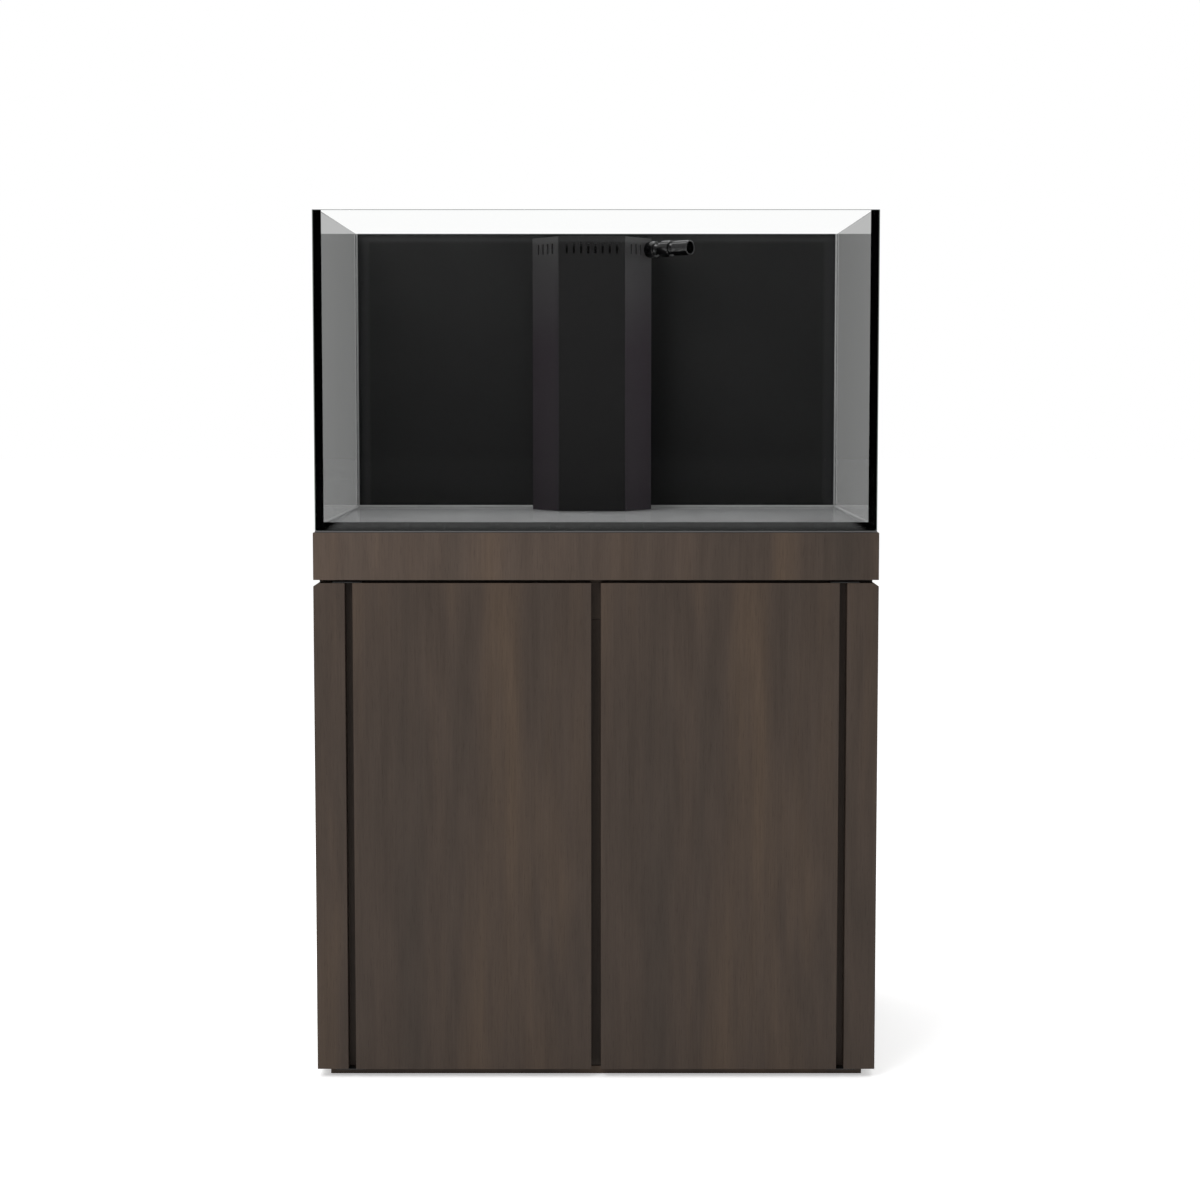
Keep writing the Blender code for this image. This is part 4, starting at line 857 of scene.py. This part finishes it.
def make_board_screws():
    """Screws that hold the back boards: up their sides, and along the edge of each that is fixed."""
    shape = bmesh.new()
    for name, rows in (("back_panel_lower", 4), ("back_rail_top", 2)):
        low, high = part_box(name)
        for side in (-1, 1):
            edge = high.x if side > 0 else low.x
            for number in range(rows):
                share = (number + 0.5) / rows
                z = low.z + (high.z - low.z) * share
                x = edge - side * BOARD_SCREW_INSET
                add_screw(shape, (x, high.y - 0.0001, z), (0, 1, 0), BOARD_SCREW_RADIUS)
        for number in range(5):
            x = low.x + (high.x - low.x) * (number + 0.5) / 5
            z = low.z + 0.011 if name == "back_panel_lower" else high.z - BOARD_SCREW_INSET
            add_screw(shape, (x, high.y - 0.0001, z), (0, 1, 0), BOARD_SCREW_RADIUS)
    piece_from("board_screws", shape, MATERIALS["steel"], CABINET, False)


def make_bumpers():
    """Soft round bumpers on the doors' inner faces, where they meet the posts."""
    for name, side in (("door_left", 1), ("door_right", -1)):
        low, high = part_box(name)
        edge = high.x if side > 0 else low.x
        shape = bmesh.new()
        for z in (low.z + BUMPER_FROM_END, high.z - BUMPER_FROM_END):
            spot = (edge - side * BUMPER_FROM_EDGE, high.y - 0.0002, z)
            profile = [(0, 0.0045), (0.0006, 0.0047), (0.0014, 0.0040), (0.0018, 0.0026)]
            lathe(shape, spot, (0, 1, 0), profile, 24)
        piece_from(f"bumpers_{name}", shape, MATERIALS["silicone"], name)


make_sock()
make_hose()
make_pump_details()
make_board_screws()
make_bumpers()


# ------------------------------------------------------------ light and floor


def make_world():
    """White where it is seen, and a light that changes with direction."""
    world = bpy.data.worlds.new("studio")
    bpy.context.scene.world = world
    world.use_nodes = True
    tree = world.node_tree
    tree.nodes.clear()
    out = tree.nodes.new("ShaderNodeOutputWorld")
    rays = tree.nodes.new("ShaderNodeLightPath")
    seen, light = tree.nodes.new("ShaderNodeBackground"), tree.nodes.new("ShaderNodeBackground")
    seen.inputs["Strength"].default_value = WORLD_SEEN
    seen.inputs["Color"].default_value = (1, 1, 1, 1)
    coords = tree.nodes.new("ShaderNodeTexCoord")
    parts = tree.nodes.new("ShaderNodeSeparateXYZ")
    tree.links.new(coords.outputs["Generated"], parts.inputs[0])
    place = tree.nodes.new("ShaderNodeMapRange")
    place.inputs["From Min"].default_value = -1.0
    tree.links.new(parts.outputs[1], place.inputs["Value"])
    band = tree.nodes.new("ShaderNodeValToRGB")
    band.color_ramp.elements.new(0.5)
    for element, grey in zip(band.color_ramp.elements, (WORLD_FRONT, WORLD_SIDE, WORLD_BACK)):
        element.color = (grey, grey, grey, 1)
    tree.links.new(place.outputs[0], band.inputs[0])
    tree.links.new(band.outputs[0], light.inputs["Color"])
    both = tree.nodes.new("ShaderNodeMixShader")
    direct = tree.nodes.new("ShaderNodeMath")
    direct.operation = "MAXIMUM"
    tree.links.new(rays.outputs["Is Camera Ray"], direct.inputs[0])
    tree.links.new(rays.outputs["Is Transmission Ray"], direct.inputs[1])
    tree.links.new(direct.outputs[0], both.inputs[0])
    tree.links.new(light.outputs[0], both.inputs[1])
    tree.links.new(seen.outputs[0], both.inputs[2])
    tree.links.new(both.outputs[0], out.inputs["Surface"])


def make_softbox(name, spot, aim, size, power):
    lamp = bpy.data.lights.new(name, "AREA")
    lamp.shape = "RECTANGLE"
    lamp.size, lamp.size_y = size
    lamp.energy = power
    holder = bpy.data.objects.new(name, lamp)
    holder.location = spot
    holder.rotation_euler = (Vector(aim) - Vector(spot)).to_track_quat("-Z", "Y").to_euler()
    bpy.context.scene.collection.objects.link(holder)


def make_floor():
    mesh = bpy.data.meshes.new("studio_floor")
    half = FLOOR_HALF
    corners = [(-half, -half, 0), (half, -half, 0), (half, half, 0), (-half, half, 0)]
    mesh.from_pydata(corners, [], [(0, 1, 2, 3)])
    floor = bpy.data.objects.new("studio_floor", mesh)
    floor.location.z = -FLOOR_DROP
    bpy.context.scene.collection.objects.link(floor)
    paint = Paint("floor_white")
    cloud = paint.noise(paint.spots(), 0.8, 3.0)
    pale = paint.ramp(cloud, (0.3, 0.80), (0.7, 0.82))
    matt = paint.add("ShaderNodeBsdfDiffuse", {"Color": pale})
    glow = paint.add("ShaderNodeEmission", {"Color": (1, 1, 1, 1), "Strength": FLOOR_GLOW})
    both = paint.add("ShaderNodeAddShader", {0: matt.outputs[0], 1: glow.outputs[0]})
    paint.finish(both.outputs[0])
    mesh.materials.append(paint.material)


def make_camera():
    data = bpy.data.cameras.new("camera")
    data.lens = CAMERA_LENS
    data.shift_y = CAMERA_SHIFT
    camera = bpy.data.objects.new("camera", data)
    camera.location = CAMERA_SPOT
    camera.rotation_euler = (math.radians(90 - CAMERA_PITCH), 0, 0)
    bpy.context.scene.collection.objects.link(camera)
    bpy.context.scene.camera = camera


make_camera()
make_world()
make_floor()
for softbox in SOFTBOXES:
    make_softbox(*softbox)
bpy.context.scene.view_settings.view_transform = "Standard"
